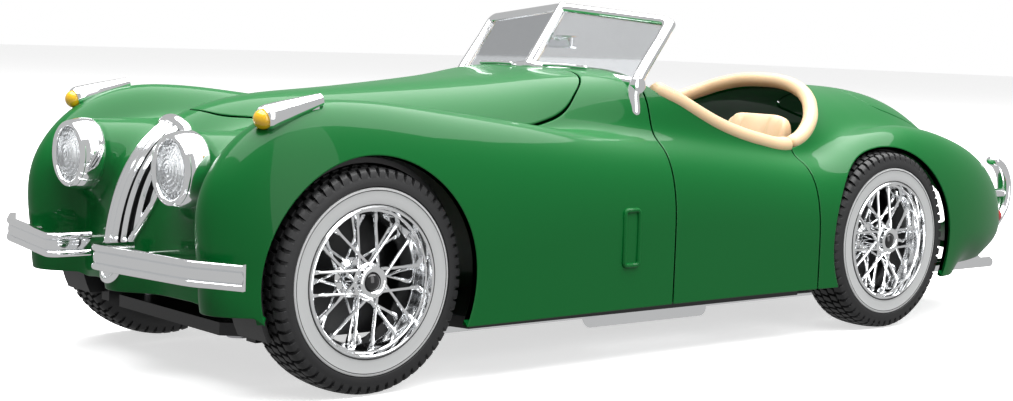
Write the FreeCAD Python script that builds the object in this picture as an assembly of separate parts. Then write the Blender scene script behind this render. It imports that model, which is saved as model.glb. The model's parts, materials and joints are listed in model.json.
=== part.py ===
"""A 1:24 diecast model of an open two-seat sports car, as separate pieces, in millimetres.

+Z is up, the nose points along -Y, and the car's left side is +X. The origin lies on the table
below the middle of the car. A "station" s is a distance behind the front axle.
"""
import FreeCAD
import Part
import math
import os

from FreeCAD import Vector as V

# Driving dimensions of the real car, divided by the model's scale
Y_FRONT_AXLE = -64.0        # the front axle's place along Y; the rear axle is one wheelbase behind
WHEELBASE = 108.0           # 102 inches at 1:24
TYRE_R = 14.85              # the tyre's outer radius, so the axle's height too
SKIN = 1.2                  # wall of the cast body
GAP = 0.25                  # shut line between two body pieces
BODY_BOTTOM = 8.3           # height of the body's lower edge
AXLE_Z = TYRE_R
ARCH_RS = (16.3, 15.7)      # front and rear wheel openings
FRONT_WHEEL_X = 25.95       # middle plane of the front wheels
REAR_WHEEL_X = 24.9
HINGE_X = 29.5              # door hinge line, at the skin
HINGE_S = 55.4
DOOR_R = 33.3               # from the hinge line to the door's rear edge
BONNET_HINGE_S = 50.0
LAMP_X, LAMP_Z = 14.1, 28.5
LAMP_FRONT = -21.4          # station of the headlamp's front rim
PAD_STEP = 0.4              # how far the underside's mounting pad stands proud
BUMPER_Z = (15.3, 18.6)
PLATE_Z = 6.6               # underside of the base plate
AXLE_R = 1.0
SCREW_PLACES = ((12, -9), (-12, -9), (12, 122), (-12, 122))
WHEEL_HALF = 3.7            # half the tyre's width
RIM_R = 9.7                 # where the rim meets the tyre
WALL_R = 12.2               # outer edge of the white wall
SPOKE_R = 0.24
SPOKE_PAIRS = 8
SPOKE_LAYERS = ((2.45, 2.1, 1.4, 8.5), (-1.5, 2.4, -0.4, 8.5))
SPOKE_LEAN = (0.62, 0.5)

# Where each driving curve of the body passes, as (station, value) pairs
CROWN_Z = ((-30, 37.0), (-8, 37.2), (8, 38.3), (20, 39.3), (33, 40.5), (50, 42.2),
           (60, 42.6), (80, 41.6), (100, 40.6), (118, 39.9), (160, 39.0))
CABIN_HALF = ((-24, 5.6), (-12, 7.4), (0, 10.2), (16, 14.2), (38, 19.4), (52, 22.7), (60, 23.4),
              (75, 23.3), (90, 22.4), (113, 21.0), (131, 20.0), (143, 19.0), (156, 17.0))
CABIN_FLAT_Z = ((-24, 11), (0, 18), (20, 22), (40, 24), (60, 25), (90, 25), (113, 20), (130, 12), (156, 8))
CABIN_POWER = ((-24, 2.5), (0, 2.4), (20, 2.7), (38, 3.4), (52, 5.0), (60, 5.5), (80, 5.0),
               (90, 3.8), (100, 2.6), (113, 2.3), (131, 2.3), (156, 2.3))
WING_Z = ((-30, 38.0), (-8, 38.0), (2, 37.8), (14, 36.6), (28, 34.9), (44, 32.8), (56, 31.4),
          (75, 29.4), (92, 27.6), (110, 26.0))
WING_X = ((-26, 29.4), (-10, 30.6), (2, 31.0), (20, 30.6), (56, 29.3), (90, 28.6), (110, 28.6))
WING_HALF = ((-26, 6.2), (-12, 6.8), (0, 7.6), (16, 7.8), (36, 6.8), (56, 5.6), (90, 5.2), (110, 5.0))
WING_FLAT_Z = ((-26, 18), (-12, 16), (0, 15), (20, 17), (56, 19), (90, 18), (110, 17))
HAUNCH_Z = ((80, 22.5), (90, 25.8), (100, 29.8), (108, 32.6), (115, 33.6), (122, 33.4), (132, 32.6), (156, 31.5))
HAUNCH_X = ((80, 28.8), (92, 28.9), (108, 29.9), (120, 29.6), (135, 28.6), (150, 26.5), (160, 25.0))
HAUNCH_HALF = ((80, 6.0), (95, 6.6), (112, 7.4), (130, 8.0), (150, 8.6), (160, 8.6))
LOW_HALF = ((-24, 24.5), (0, 25), (60, 26.5), (108, 26), (140, 24), (156, 21))
LOW_Z = ((-24, 31.0), (-12, 32.4), (-2, 33.6), (8, 33.8), (20, 32.5), (40, 30.5), (60, 29.5),
         (90, 27.5), (108, 30), (125, 32), (156, 30))
TUCK = ((-30, 16), (-12, 30), (0, 90), (110, 90), (126, 15), (140, 9.0), (156, 8.6))
SCOOP_Z = ((50, 60), (55, 42), (57, 39.9), (62, 37.4), (70, 33.9), (80, 31.2), (88, 30.3),
           (92, 31.2), (97, 33.6), (102, 36.2), (106, 38.6), (108.5, 41.5), (111, 50))
BLEND = 0.9                 # width over which two volumes of the body melt into one


def curve(points, s):
    """A smooth curve through the points, level with the weighted slope at each."""
    if s <= points[0][0]:
        return points[0][1]
    if s >= points[-1][0]:
        return points[-1][1]
    i = 0
    while points[i + 1][0] < s:
        i += 1

    def chord(k):
        return (points[k + 1][1] - points[k][1]) / (points[k + 1][0] - points[k][0])

    def slope(k):
        if k == 0:
            return chord(0)
        if k == len(points) - 1:
            return chord(k - 1)
        before = points[k][0] - points[k - 1][0]
        after = points[k + 1][0] - points[k][0]
        return (chord(k - 1) * after + chord(k) * before) / (before + after)

    h = points[i + 1][0] - points[i][0]
    t = (s - points[i][0]) / h
    start = (2 * t - 3) * t * t + 1
    return (start * points[i][1] + (1 - start) * points[i + 1][1]
            + ((t - 2) * t + 1) * t * h * slope(i) + (t - 1) * t * t * h * slope(i + 1))


class Section:
    """The driving curves' values at one station, worked out once and kept."""
    known = {}

    def __init__(self, s):
        self.crown = curve(CROWN_Z, s)
        self.cabin = curve(CABIN_HALF, s)
        self.cabin_flat = curve(CABIN_FLAT_Z, s)
        self.power = curve(CABIN_POWER, s)
        self.wing_z = curve(WING_Z, s)
        self.wing_half = curve(WING_HALF, s)
        self.wing_x = curve(WING_X, s) - self.wing_half
        self.wing_flat = curve(WING_FLAT_Z, s)
        self.haunch_z = curve(HAUNCH_Z, s)
        self.haunch_half = curve(HAUNCH_HALF, s)
        self.haunch_x = curve(HAUNCH_X, s) - self.haunch_half
        self.low_half = curve(LOW_HALF, s)
        self.low_z = curve(LOW_Z, s)
        self.tuck = curve(TUCK, s)


def over(value):
    """The value where it is positive, or 0."""
    return value if value > 0 else 0.0


def body_depth(x, s, z):
    """Below 0 inside the body, above 0 outside: five rounded volumes melted together."""
    c = Section(s)
    x = abs(x)
    tuck = (over(16 - z) / c.tuck) ** 2.5
    end = (over(6 - s) / 28.2) ** 2.7 + (over(s - 116) / 38.0) ** 2.5 + tuck
    across = (x / c.cabin) ** c.power + (over(z - c.cabin_flat) / (c.crown - c.cabin_flat)) ** c.power
    cabin = ((across ** (2.5 / c.power) + end) ** 0.4 - 1) * min(c.cabin, 14)

    side = abs(x - c.wing_x) / c.wing_half
    up = over(z - c.wing_flat) / (c.wing_z - c.wing_flat)
    down = over(c.wing_flat - z) / 60.0
    rise = min(over(z - 14) / 15, 1)
    reach = 20.6 + 1.7 * rise * rise * (3 - 2 * rise)
    ends = (over(-1 - s) / reach) ** 2.4 + (over(s - 92) / 18.0) ** 2.3 + tuck
    wing = ((side ** 2.3 + up ** 2.3 + down ** 2.3 + ends) ** (1 / 2.3) - 1) * c.wing_half

    side = abs(x - c.haunch_x) / c.haunch_half
    up = over(z - 15) / (c.haunch_z - 15)
    down = over(15 - z) / 60.0
    ends = (over(100 - s) / 25.0) ** 2.2 + (over(s - 112) / 39.5) ** 2.3 + tuck
    haunch = ((side ** 2.3 + up ** 2.3 + down ** 2.3 + ends) ** (1 / 2.3) - 1) * c.haunch_half

    ends = (over(-s) / 17.6) ** 3.2 + (over(s - 112) / 41.0) ** 3.0 + tuck
    up = over(z - 12) / (c.low_z - 12)
    low = (((x / c.low_half) ** 4 + up ** 3.6 + ends) ** (1 / 3.2) - 1) * 12

    reach = 2.2 if s < -17 else 23.0
    pod = (math.sqrt(((x - LAMP_X) / 5.2) ** 2 + ((z - 28.2) / 5.2) ** 2 + ((s + 17) / reach) ** 2) - 1) * 5.2
    total = 0.0
    for depth in (cabin, wing, haunch, low, pod):
        total += math.exp(-min(max(depth / BLEND, -40), 40))
    return -BLEND * math.log(total)


def skin_point(station, lean, turn):
    """Where a ray from the core line meets the outer skin: lean tips it fore or aft, turn rolls it."""
    way = (math.sin(turn) * math.cos(lean), math.sin(lean), math.cos(turn) * math.cos(lean))
    far = 66.0
    while far > 4 and body_depth(way[0] * far, station + way[1] * far, BODY_BOTTOM + way[2] * far) > 0:
        far -= 2.0
    near = far
    far += 2.0
    for _ in range(14):
        middle = (near + far) / 2
        if body_depth(way[0] * middle, station + way[1] * middle, BODY_BOTTOM + way[2] * middle) > 0:
            far = middle
        else:
            near = middle
    return V(way[0] * near, station + way[1] * near, BODY_BOTTOM + way[2] * near)


def skin_grid():
    """Points of the outer skin from nose to tail, each row from the right sill over to the left."""
    nose, middle, tail, half = 13, 34, 13, 22
    rows = [(0.0, -math.pi / 2 + math.pi / 2 * i / nose) for i in range(nose)]
    rows += [(WHEELBASE * i / middle, 0.0) for i in range(middle + 1)]
    rows += [(WHEELBASE, math.pi / 2 * (i + 1) / tail) for i in range(tail)]
    grid = []
    for station, lean in rows:
        left = [skin_point(station, lean, math.pi / 2 * j / half) for j in range(half + 1)]
        right = [V(-p.x, p.y, p.z) for p in reversed(left[1:])]
        grid.append(right + left)
    return grid


def inner_grid(grid, wall):
    """The same points moved inwards by the wall, with the lower edge let down to open the shell."""
    rows = len(grid)
    columns = len(grid[0])
    out = []
    for i in range(rows):
        row = []
        for j in range(columns):
            if i in (0, rows - 1):
                inward = V(0, 1 if i == 0 else -1, 0)
            else:
                along = grid[i + 1][j] - grid[i - 1][j]
                around = grid[i][min(j + 1, columns - 1)] - grid[i][max(j - 1, 0)]
                inward = along.cross(around)
                inward.normalize()
                if j in (0, columns - 1):
                    inward.z = 0
            point = grid[i][j] + inward * wall
            if j in (0, columns - 1) or i in (0, rows - 1):
                point = V(point.x, point.y, BODY_BOTTOM - 1.0)
            row.append(point)
        out.append(row)
    return out


def spline_face(grid):
    """A smooth cubic face that follows the grid's points as its control points."""
    knots_u = list(range(len(grid) - 2))
    knots_v = list(range(len(grid[0]) - 2))
    surface = Part.BSplineSurface()
    surface.buildFromPolesMultsKnots(grid, [4] + [1] * (len(knots_u) - 2) + [4],
                                     [4] + [1] * (len(knots_v) - 2) + [4],
                                     knots_u, knots_v, False, False, 3, 3)
    return surface.toShape()


def solid_from(grid):
    """A closed solid: one smooth face over the grid, and a flat one below."""
    top = spline_face(grid)
    edges = [e for e in top.Edges if not e.Degenerated]
    bottom = Part.Face(Part.Wire(Part.__sortEdges__(edges)))
    shell = Part.makeShell([top, bottom])
    shell.sewShape()
    solid = Part.Solid(shell)
    if solid.Volume < 0:
        solid.reverse()
    return solid


def box(x0, x1, s0, s1, z0, z1):
    return Part.makeBox(x1 - x0, s1 - s0, z1 - z0, V(x0, s0, z0))


def rod(start, end, radius):
    """A round bar between two points."""
    return Part.makeCylinder(radius, (end - start).Length, start, end - start)


def bent_rod(points, radius):
    """Round bars end to end, with a ball at each bend."""
    pieces = [rod(p, q, radius) for p, q in zip(points, points[1:])]
    pieces += [Part.makeSphere(radius, p) for p in points[1:-1]]
    return pieces[0].multiFuse(pieces[1:]).removeSplitter()


def side_prism(outline, x0, x1):
    """An outline of (station, height) points, carried across the car."""
    wire = Part.makePolygon([V(x0, s, z) for s, z in outline] + [V(x0, outline[0][0], outline[0][1])])
    return Part.Face(wire).extrude(V(x1 - x0, 0, 0))


def plan_prism(outline, z0, z1):
    """An outline of (x, station) points, carried upwards."""
    wire = Part.makePolygon([V(x, s, z0) for x, s in outline] + [V(outline[0][0], outline[0][1], z0)])
    return Part.Face(wire).extrude(V(0, 0, z1 - z0))


def mirrored(shape):
    """The same piece on the other side of the car."""
    return shape.mirror(V(0, 0, 0), V(1, 0, 0))


def fused(pieces):
    return pieces[0].multiFuse(pieces[1:]).removeSplitter()


def skin_x(s, z):
    """How far out the skin is at this station and height."""
    inside, outside = 0.0, 40.0
    for _ in range(24):
        middle = (inside + outside) / 2
        if body_depth(middle, s, z) > 0:
            outside = middle
        else:
            inside = middle
    return inside


def scoop():
    """The cut across the car that opens the cockpit and dips along the doors."""
    first, last = SCOOP_Z[0][0], SCOOP_Z[-1][0]
    points = [V(-40, first + 1.5 * i, curve(SCOOP_Z, first + 1.5 * i)) for i in range(45) if first + 1.5 * i <= last]
    line = Part.BSplineCurve()
    line.interpolate(points)
    top = 70
    rest = Part.makePolygon([points[-1], V(-40, points[-1].y, top), V(-40, first, top), points[0]])
    return Part.Face(Part.Wire([line.toShape()] + rest.Edges)).extrude(V(80, 0, 0))


def egg_face(half, ends, plane):
    """A smooth closed face, symmetric about the car's middle, through the half outline's points."""
    points = [(0, ends[0])] + list(half) + [(0, ends[1])] + [(-x, v) for x, v in reversed(half)]
    line = Part.BSplineCurve()
    line.interpolate([plane(x, v) for x, v in points], PeriodicFlag=True)
    return Part.Face(Part.Wire([line.toShape()]))


def bonnet_prism(grow):
    """The bonnet's outline in plan, grown by the shut line where it cuts the body."""
    half = ((3.4, -8.0), (6.0, -3.6), (8.9, 3), (12.7, 16), (15.8, 28), (18.3, 37.5), (18.4, 43.6), (13.8, 48.2))
    ways = ((0.5, -0.87), (0.85, -0.52), (0.93, -0.37), (0.96, -0.27), (0.97, -0.24), (1, 0), (0.8, 0.6), (0.4, 0.92))
    half = [(x + grow * a, s + grow * b) for (x, s), (a, b) in zip(half, ways)]
    ends = (-9.6 - grow, BONNET_HINGE_S - 0.2 + grow)
    return egg_face(half, ends, lambda x, s: V(x, s, 20)).extrude(V(0, 0, 40))


def grille_prism():
    """The egg-shaped air intake, seen from the front and carried along the car."""
    half = ((1.7, 13.6), (2.7, 17), (3.8, 20.5), (4.8, 24), (5.2, 27.5), (4.8, 30.5), (3.6, 32.6), (1.8, 33.7))
    return egg_face(half, (12.8, 34.0), lambda x, z: V(x, -40, z)).extrude(V(0, 32, 0))


def door_space(shut, radius):
    """What a left door may fill: behind its front shut line and within its swing."""
    reach = Part.makeCylinder(radius, 80, V(HINGE_X, HINGE_S, 0))
    return reach.common(box(18.6 - shut, 40, HINGE_S + GAP / 2 - shut, 100, 0, 70))


def wheel_arches():
    arches = []
    for s, radius in zip((0, WHEELBASE), ARCH_RS):
        for x in (18, -38):
            arches.append(Part.makeCylinder(radius, 20, V(x, s, AXLE_Z), V(1, 0, 0)))
    return arches


def lamp_hole(x):
    return Part.makeCylinder(5.05, 20, V(x, -34, LAMP_Z), V(0, 1, 0))


def body_pieces():
    """The cast body, its doors and bonnet, and the grille and inner space that go with them."""
    points = skin_grid()
    outer = solid_from(points)
    inner = solid_from(inner_grid(points, SKIN))
    shell = outer.cut(inner)
    chin = side_prism(((-40, 11.9), (-17, 11.2), (-12.5, 8.0), (-12.5, 0), (-40, 0)), -40, 40)
    heel = side_prism(((170, 10.4), (138, 9.8), (126, 8.0), (126, 0), (170, 0)), -40, 40)
    shell = shell.cut([scoop(), chin, heel] + wheel_arches())
    door = shell.common(door_space(0, DOOR_R))
    bonnet = shell.common(bonnet_prism(0))
    grille = shell.common(grille_prism()).cut(bonnet_prism(GAP))
    opening = door_space(GAP, DOOR_R + GAP)
    cuts = [bonnet_prism(GAP), grille_prism(), opening, mirrored(opening), lamp_hole(LAMP_X), lamp_hole(-LAMP_X)]
    body = shell.cut(cuts)
    sill = box(22.8, 31, 44, 91.5, BODY_BOTTOM, 11.3).common(outer)
    sill = sill.cut(door_space(GAP, DOOR_R + GAP).common(box(25.8, 40, 0, 200, 0, 70)))
    return inner, fused([body, sill, mirrored(sill)]), door, bonnet, grille


def roll(places, radius, inward):
    """A padded roll along the skin's cut edge: rings lofted along (x, station, z) places."""
    rings = []
    for i, place in enumerate(places):
        before = places[max(i - 1, 0)]
        after = places[min(i + 1, len(places) - 1)]
        way = V(*after) - V(*before)
        side = V(-way.y, way.x, 0) if inward > 0 else V(way.y, -way.x, 0)
        side.normalize()
        centre = V(*place) + side * abs(inward) + V(0, 0, 0.7)
        rings.append(Part.Wire(Part.makeCircle(radius, centre, way)))
    return Part.makeLoft(rings, True)


def edge_places(first, last, steps):
    """Places on the left edge of the cockpit cut between two stations."""
    places = []
    for i in range(steps + 1):
        s = first + (last - first) * i / steps
        z = curve(SCOOP_Z, s)
        places.append((skin_x(s, z), s, z))
    return places


def rear_edge(x):
    """The place on the rear edge of the cockpit cut at this distance from the middle."""
    front, rear = 92.0, 115.9
    for _ in range(24):
        middle = (front + rear) / 2
        if body_depth(x, middle, curve(SCOOP_Z, middle)) < 0:
            front = middle
        else:
            rear = middle
    return (x, front, curve(SCOOP_Z, front))


def cockpit_rim(body):
    """The padded roll round the back of the cockpit, on the body's edge."""
    left = edge_places(DOOR_R + HINGE_S + 1.6, 103, 5)
    side = left[-1][0]
    left += [rear_edge(side * part) for part in (0.93, 0.84, 0.7, 0.5, 0.25)]
    places = left + [rear_edge(0)] + [(-x, s, z) for x, s, z in reversed(left)]
    return roll(places, 1.5, 1.2).cut(body)


def door_roll(door):
    """The padded roll along the top of the left door."""
    last = HINGE_S + DOOR_R - 1.0
    return roll(edge_places(HINGE_S + 3.2, last, 7), 1.45, 1.2).cut(door)


def door_trim(inner):
    """The lining inside the left door's skin."""
    reach = Part.makeCylinder(DOOR_R - 1.2, 80, V(HINGE_X, HINGE_S, 0))
    return inner.common(box(25.6, 32, HINGE_S + 2.0, 88, 12.8, 27.6)).common(reach)


def chassis(inner):
    """The black base plate with its axle blocks and the linings of the four wheel wells."""
    plan = ((13.6, -13), (19.2, -7), (19.2, 17.5), (25.4, 19.5), (25.4, 88.5), (19.2, 90.5),
            (19.2, 113.5), (13.2, 114.5), (13.2, 133))
    outline = list(plan) + [(-x, s) for x, s in reversed(plan)]
    plate = plan_prism(outline, PLATE_Z, BODY_BOTTOM)
    pad = box(-9, 9, 24, 84, PLATE_Z - PAD_STEP, PLATE_Z + 0.1)
    uppers = []
    for s in (0, WHEELBASE):
        for x in (13, -16):
            uppers.append(box(x, x + 3, s - 3, s + 3, BODY_BOTTOM - 0.5, AXLE_Z + 3))
    for s, wall, reach, radius in ((0, 20.1, 27.0, ARCH_RS[0] - 0.4), (WHEELBASE, 19.5, 25.3, ARCH_RS[1])):
        well = Part.makeCylinder(radius, reach - wall, V(wall, s, AXLE_Z), V(1, 0, 0))
        well = well.cut(Part.makeCylinder(radius - 0.7, 20, V(wall + 0.7, s, AXLE_Z), V(1, 0, 0)))
        well = well.common(box(0, 40, s - 30, s + 30, BODY_BOTTOM - 0.5, 60))
        foot = box(18.6, wall + 0.7, s - 12, s + 12, PLATE_Z, BODY_BOTTOM)
        uppers += [well, mirrored(well), foot, mirrored(foot)]
    solid = fused([plate, pad] + uppers)
    holes = [rod(V(-30, s, AXLE_Z), V(30, s, AXLE_Z), AXLE_R + 0.05) for s in (0, WHEELBASE)]
    holes += [rod(V(x, s, 0), V(x, s, 30), 0.8) for x, s in SCREW_PLACES]
    return solid.cut(holes).common(box(-40, 40, -40, 170, 0, BODY_BOTTOM).fuse(inner))


def screws():
    """The four screws that hold the base plate, as one group."""
    made = []
    for x, s in SCREW_PLACES:
        head = Part.makeCylinder(1.6, 0.7, V(x, s, PLATE_Z - 0.7))
        head = head.cut([box(x - 1.1, x + 1.1, s - 0.2, s + 0.2, PLATE_Z - 0.8, PLATE_Z - 0.35),
                         box(x - 0.2, x + 0.2, s - 1.1, s + 1.1, PLATE_Z - 0.8, PLATE_Z - 0.35)])
        made.append(head.fuse(Part.makeCylinder(0.8, BODY_BOTTOM + 2 - PLATE_Z, V(x, s, PLATE_Z))))
    return Part.makeCompound(made)


def exhaust():
    """The plated exhaust pipe under the left side, with its silencer and two tail pipes."""
    run = [V(17.2, 17, 5.5), V(17.2, 118, 5.5), V(17.2, 128, 7.4), V(17.2, 153.6, 7.4)]
    pipe = bent_rod(run, 0.95)
    silencer = rod(V(17.2, 50, 4.8), V(17.2, 74, 4.8), 1.7)
    second = rod(V(14.6, 122, 7.4), V(14.6, 153.6, 7.4), 0.95)
    link = rod(V(14.6, 131, 7.4), V(17.2, 131, 7.4), 0.6)
    bores = [rod(V(x, 140, 7.4), V(x, 154, 7.4), 0.65) for x in (14.6, 17.2)]
    return fused([pipe, silencer, second, link]).cut(bores)


def ring(outer_r, inner_r, x0, x1):
    """A plain round band about the wheel's own axis."""
    band = Part.makeCylinder(outer_r, x1 - x0, V(x0, 0, 0), V(1, 0, 0))
    return band.cut(Part.makeCylinder(inner_r, x1 - x0, V(x0, 0, 0), V(1, 0, 0)))


def turned(profile):
    """A closed (x, radius) profile turned about the wheel's axis."""
    wire = Part.makePolygon([V(x, 0, r) for x, r in profile] + [V(profile[0][0], 0, profile[0][1])])
    return Part.Face(wire).revolve(V(0, 0, 0), V(1, 0, 0), 360)


def spokes():
    """Two layers of crossed wire spokes between the hub and the rim, joined where they cross."""
    wires = []
    for layer, (hub_x, hub_r, rim_x, rim_r) in enumerate(SPOKE_LAYERS):
        for i in range(SPOKE_PAIRS):
            for lean in (-1, 1):
                hub_turn = 2 * math.pi * (i + 0.5 * layer) / SPOKE_PAIRS
                rim_turn = hub_turn + lean * SPOKE_LEAN[layer]
                start = V(hub_x, hub_r * math.cos(hub_turn), hub_r * math.sin(hub_turn))
                end = V(rim_x, rim_r * math.cos(rim_turn), rim_r * math.sin(rim_turn))
                wires.append(rod(start, end, SPOKE_R))
    return wires[0].multiFuse(wires[1:])


def wheel():
    """The pieces of one left wheel about its own centre, outboard towards +X."""
    half = WHEEL_HALF
    tyre = turned(((-half + 0.5, RIM_R), (-half + 0.1, 11.6), (-half, 12.8), (-half + 0.5, 14.1),
                   (-half + 1.5, TYRE_R - 0.15), (-1.2, TYRE_R), (1.2, TYRE_R), (half - 1.5, TYRE_R - 0.15),
                   (half - 0.5, 14.1), (half, 12.8), (half - 0.25, WALL_R), (half - 1.2, WALL_R),
                   (half - 1.2, RIM_R)))
    whitewall = ring(WALL_R, RIM_R, half - 1.2, half)
    rim = turned(((-half + 0.5, RIM_R), (-half + 0.5, RIM_R - 0.9), (-1.6, 8.3), (0.6, 8.3), (half - 1.4, RIM_R - 0.8),
                  (half - 0.1, RIM_R - 0.7), (half + 0.15, RIM_R - 0.3), (half, RIM_R), (0.6, RIM_R)))
    hub = turned(((-1.9, AXLE_R), (-1.9, 2.6), (-1.2, 2.6), (-0.8, 1.7), (2.0, 1.7), (2.2, 2.3), (2.7, 2.3),
                  (2.9, 1.75), (half + 0.1, 1.6), (half + 0.1, 1.25), (2.6, 1.25), (2.6, AXLE_R)))
    dome = turned(((2.6, 0.01), (2.6, 1.25), (3.0, 1.2), (3.35, 0.8), (3.45, 0.01)))
    return {"tyre": tyre, "whitewall": whitewall, "wheel_rim": rim, "wheel_spokes": spokes(),
            "wheel_hub": hub.fuse(dome)}


def place_wheels():
    """Four wheels; the right ones are turned round so that their outer sides face out."""
    made = {}
    for end, s, x in (("front", 0, FRONT_WHEEL_X), ("rear", WHEELBASE, REAR_WHEEL_X)):
        for side, sign in (("left", 1), ("right", -1)):
            for kind, shape in WHEEL.items():
                piece = shape.copy()
                if sign < 0:
                    piece.rotate(V(0, 0, 0), V(0, 0, 1), 180)
                piece.translate(V(sign * x, s, AXLE_Z))
                made[kind + "_" + end + "_" + side] = piece
    return made


def headlamp():
    """A left headlamp: a deep plated bezel, and the lens set in it."""
    axis = V(0, 1, 0)
    front = LAMP_FRONT
    bezel = Part.makeCylinder(5.05, 6.4, V(LAMP_X, front + 0.6, LAMP_Z), axis)
    bezel = bezel.fuse(Part.makeCone(4.5, 5.05, 0.6, V(LAMP_X, front, LAMP_Z), axis))
    bezel = bezel.cut(Part.makeCylinder(3.75, 2.0, V(LAMP_X, front, LAMP_Z), axis))
    lens = Part.makeCylinder(3.75, 1.6, V(LAMP_X, front + 0.4, LAMP_Z), axis)
    return bezel, lens


def sidelight():
    """A left sidelight: a torpedo along the wing's crest with an amber lens in its nose."""
    nose, tail = V(25.4, -14.6, 35.6), V(25.2, -6.0, 38.0)
    way = tail - nose
    shell = Part.makeCone(1.7, 0.8, way.Length, nose, way)
    foot = box(24.7, 26.0, -13.4, -7.0, 32.6, 36.4)
    lens = Part.makeSphere(1.45, nose).cut(shell)
    return shell.fuse(foot), lens


def bumper():
    """The left half of the front bumper: a blade turned back at both ends, on two brackets."""
    blade = ((5.4, -21.6), (5.4, -27.4), (6.2, -28.2), (25.2, -25.0), (32.2, -21.6), (31.5, -20.4),
             (24.6, -23.4), (7.2, -26.4), (7.0, -21.6))
    solid = plan_prism(blade, *BUMPER_Z)
    middle = (BUMPER_Z[0] + BUMPER_Z[1]) / 2
    arms = [rod(V(x, s, middle), V(x, -16.5, middle), 0.8) for x, s in ((10, -26), (22, -24))]
    return fused([solid] + arms)


def windscreen():
    """The plated frame of the split screen, its two panes, and the mirror on the centre post."""
    top_mid, low_mid = V(0, 57.8, 51.7), V(0, 51.2, 42.4)
    top, low = V(20.9, 61.0, 49.8), V(20.9, 54.3, 40.5)
    bracket = V(21.6, 53.2, 36.2)
    frame = []
    for side in (1, -1):
        def placed(p):
            return V(side * p.x, p.y, p.z)
        corners = [placed(low), placed(top), top_mid]
        frame.append(bent_rod(corners, 0.7))
        frame.append(rod(low_mid, placed(low), 0.7))
        frame.append(rod(placed(low), placed(bracket), 0.8))
        frame.append(Part.makeSphere(0.8, placed(low)))
    frame += [rod(low_mid, top_mid, 0.6), Part.makeSphere(0.7, top_mid), Part.makeSphere(0.7, low_mid)]
    frame = fused(frame)
    normal = (top - top_mid).cross(low - top_mid)
    normal.normalize()
    corners = [top_mid, top, low, low_mid - normal * normal.dot(low_mid - top_mid)]
    pane = Part.Face(Part.makePolygon([p - normal * 0.3 for p in corners + corners[:1]])).extrude(normal * 0.6)
    mirror = box(-2.9, 2.9, 57.3, 58.2, 45.2, 47.2).fuse(rod(V(0, 54.6, 47.2), V(0, 57.5, 46.6), 0.35))
    return frame, pane.cut(frame), mirror.cut(frame)


def tub():
    """The cockpit's lining: floor, sides, toe board and back, open at the top."""
    wall = 0.8
    whole = box(-18.8, 18.8, 53, 104.2, BODY_BOTTOM, 28.4)
    room = box(-18.8 + wall, 18.8 - wall, 53 + wall, 104.2 - wall, BODY_BOTTOM + wall, 40)
    tunnel = box(-2.6, 2.6, 53.2, 96, BODY_BOTTOM + 0.2, 14.5)
    return whole.cut(room).fuse(tunnel).removeSplitter()


def seat():
    """The left seat: a cushion on the floor and a raked back."""
    cushion = box(3.0, 16.6, 74, 91, 9.1, 17.2)
    back = side_prism(((88.0, 13.0), (92.6, 32.6), (94.4, 34.2), (96.6, 33.4), (94.0, 13.0)), 3.0, 16.6)
    return cushion.fuse(back).removeSplitter()


def dashboard(inner, body):
    """The instrument board under the scuttle's rear edge."""
    board = side_prism(((55.2, 30.0), (57.0, 30.0), (58.4, 36.4), (57.6, 39.0), (55.2, 41.0)), -18.2, 18.2)
    return board.common(inner).cut([body, scoop()])


def steering():
    """The steering wheel with three arms, and the column that carries it."""
    centre = V(10.2, 68.0, 32.4)
    axis = V(0, 1, 0.42)
    axis.normalize()
    rim = Part.makeTorus(5.6, 0.55, centre, axis)
    across = V(1, 0, 0)
    upward = across.cross(axis)
    arms = [rim, Part.makeCylinder(1.2, 0.9, centre - axis * 0.45, axis)]
    for turn in (math.pi / 2, math.pi * 7 / 6, math.pi * 11 / 6):
        way = across * math.cos(turn) - upward * math.sin(turn)
        arms.append(rod(centre, centre + way * 5.5, 0.35))
    column = rod(centre - axis * 0.45, centre - axis * 15.2, 0.6)
    return fused(arms), column.cut(arms[1])


def engine():
    """The cast block under the bonnet, with its two cam covers, carburettors and radiator."""
    block = box(-5.5, 5.5, 8, 42, 11, 27)
    covers = [box(x, x + 3.2, 9, 41, 26.5, 31) for x in (-5.4, 2.2)]
    radiator = box(-6.2, 6.2, 1.5, 4.5, 11, 29)
    foot = box(-3, 3, 4, 46, BODY_BOTTOM, 11.5)
    pots = [Part.makeCylinder(1.6, 6, V(-8, s, 19)) for s in (17, 30)]
    pots += [box(-8, -5, s - 1, s + 1, 21, 23) for s in (17, 30)]
    return fused([block] + covers + [radiator, foot] + pots)


def overriders():
    """Two curved plated blades standing off the tail, each on its own arm."""
    outline = ((151.6, 27.4), (153.9, 26.9), (156.2, 24.4), (157.2, 21.0), (156.8, 17.6), (155.2, 15.0), (153.2, 14.0),
               (152.6, 15.6), (154.2, 17.0), (155.0, 19.2), (155.0, 22.0), (154.0, 24.4), (152.4, 25.8), (151.2, 26.2))
    blade = side_prism(outline, 16.5, 19.5).fuse(rod(V(18, 143, 20.5), V(18, 156.0, 20.5), 0.9))
    return Part.makeCompound([blade, mirrored(blade)])


def tail_lamps():
    """Two round tail lamps low on the rear wings."""
    place = skin_point(WHEELBASE, math.radians(62), math.radians(68))
    lamp = Part.makeCylinder(1.5, 3.6, place + V(0, -2.8, 0), V(0, 1, 0))
    return Part.makeCompound([lamp, mirrored(lamp)])


def vents():
    """The raised outline of the air outlet on each front wing."""
    x = skin_x(46, 18.5)
    frame = box(x - 0.9, x + 0.35, 43.6, 48.6, 14.2, 22.6).cut(box(x - 2, x + 2, 44.4, 47.8, 15.0, 21.8))
    return Part.makeCompound([frame, mirrored(frame)])


def save(name, shape):
    """Move a piece from stations into the model's frame and write it."""
    shape = shape.copy()
    shape.translate(V(0, Y_FRONT_AXLE, 0))
    shape.exportStep("parts/" + name + ".step")
    print(name, shape.isValid(), len(shape.Solids), round(shape.Volume, 2))


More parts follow.
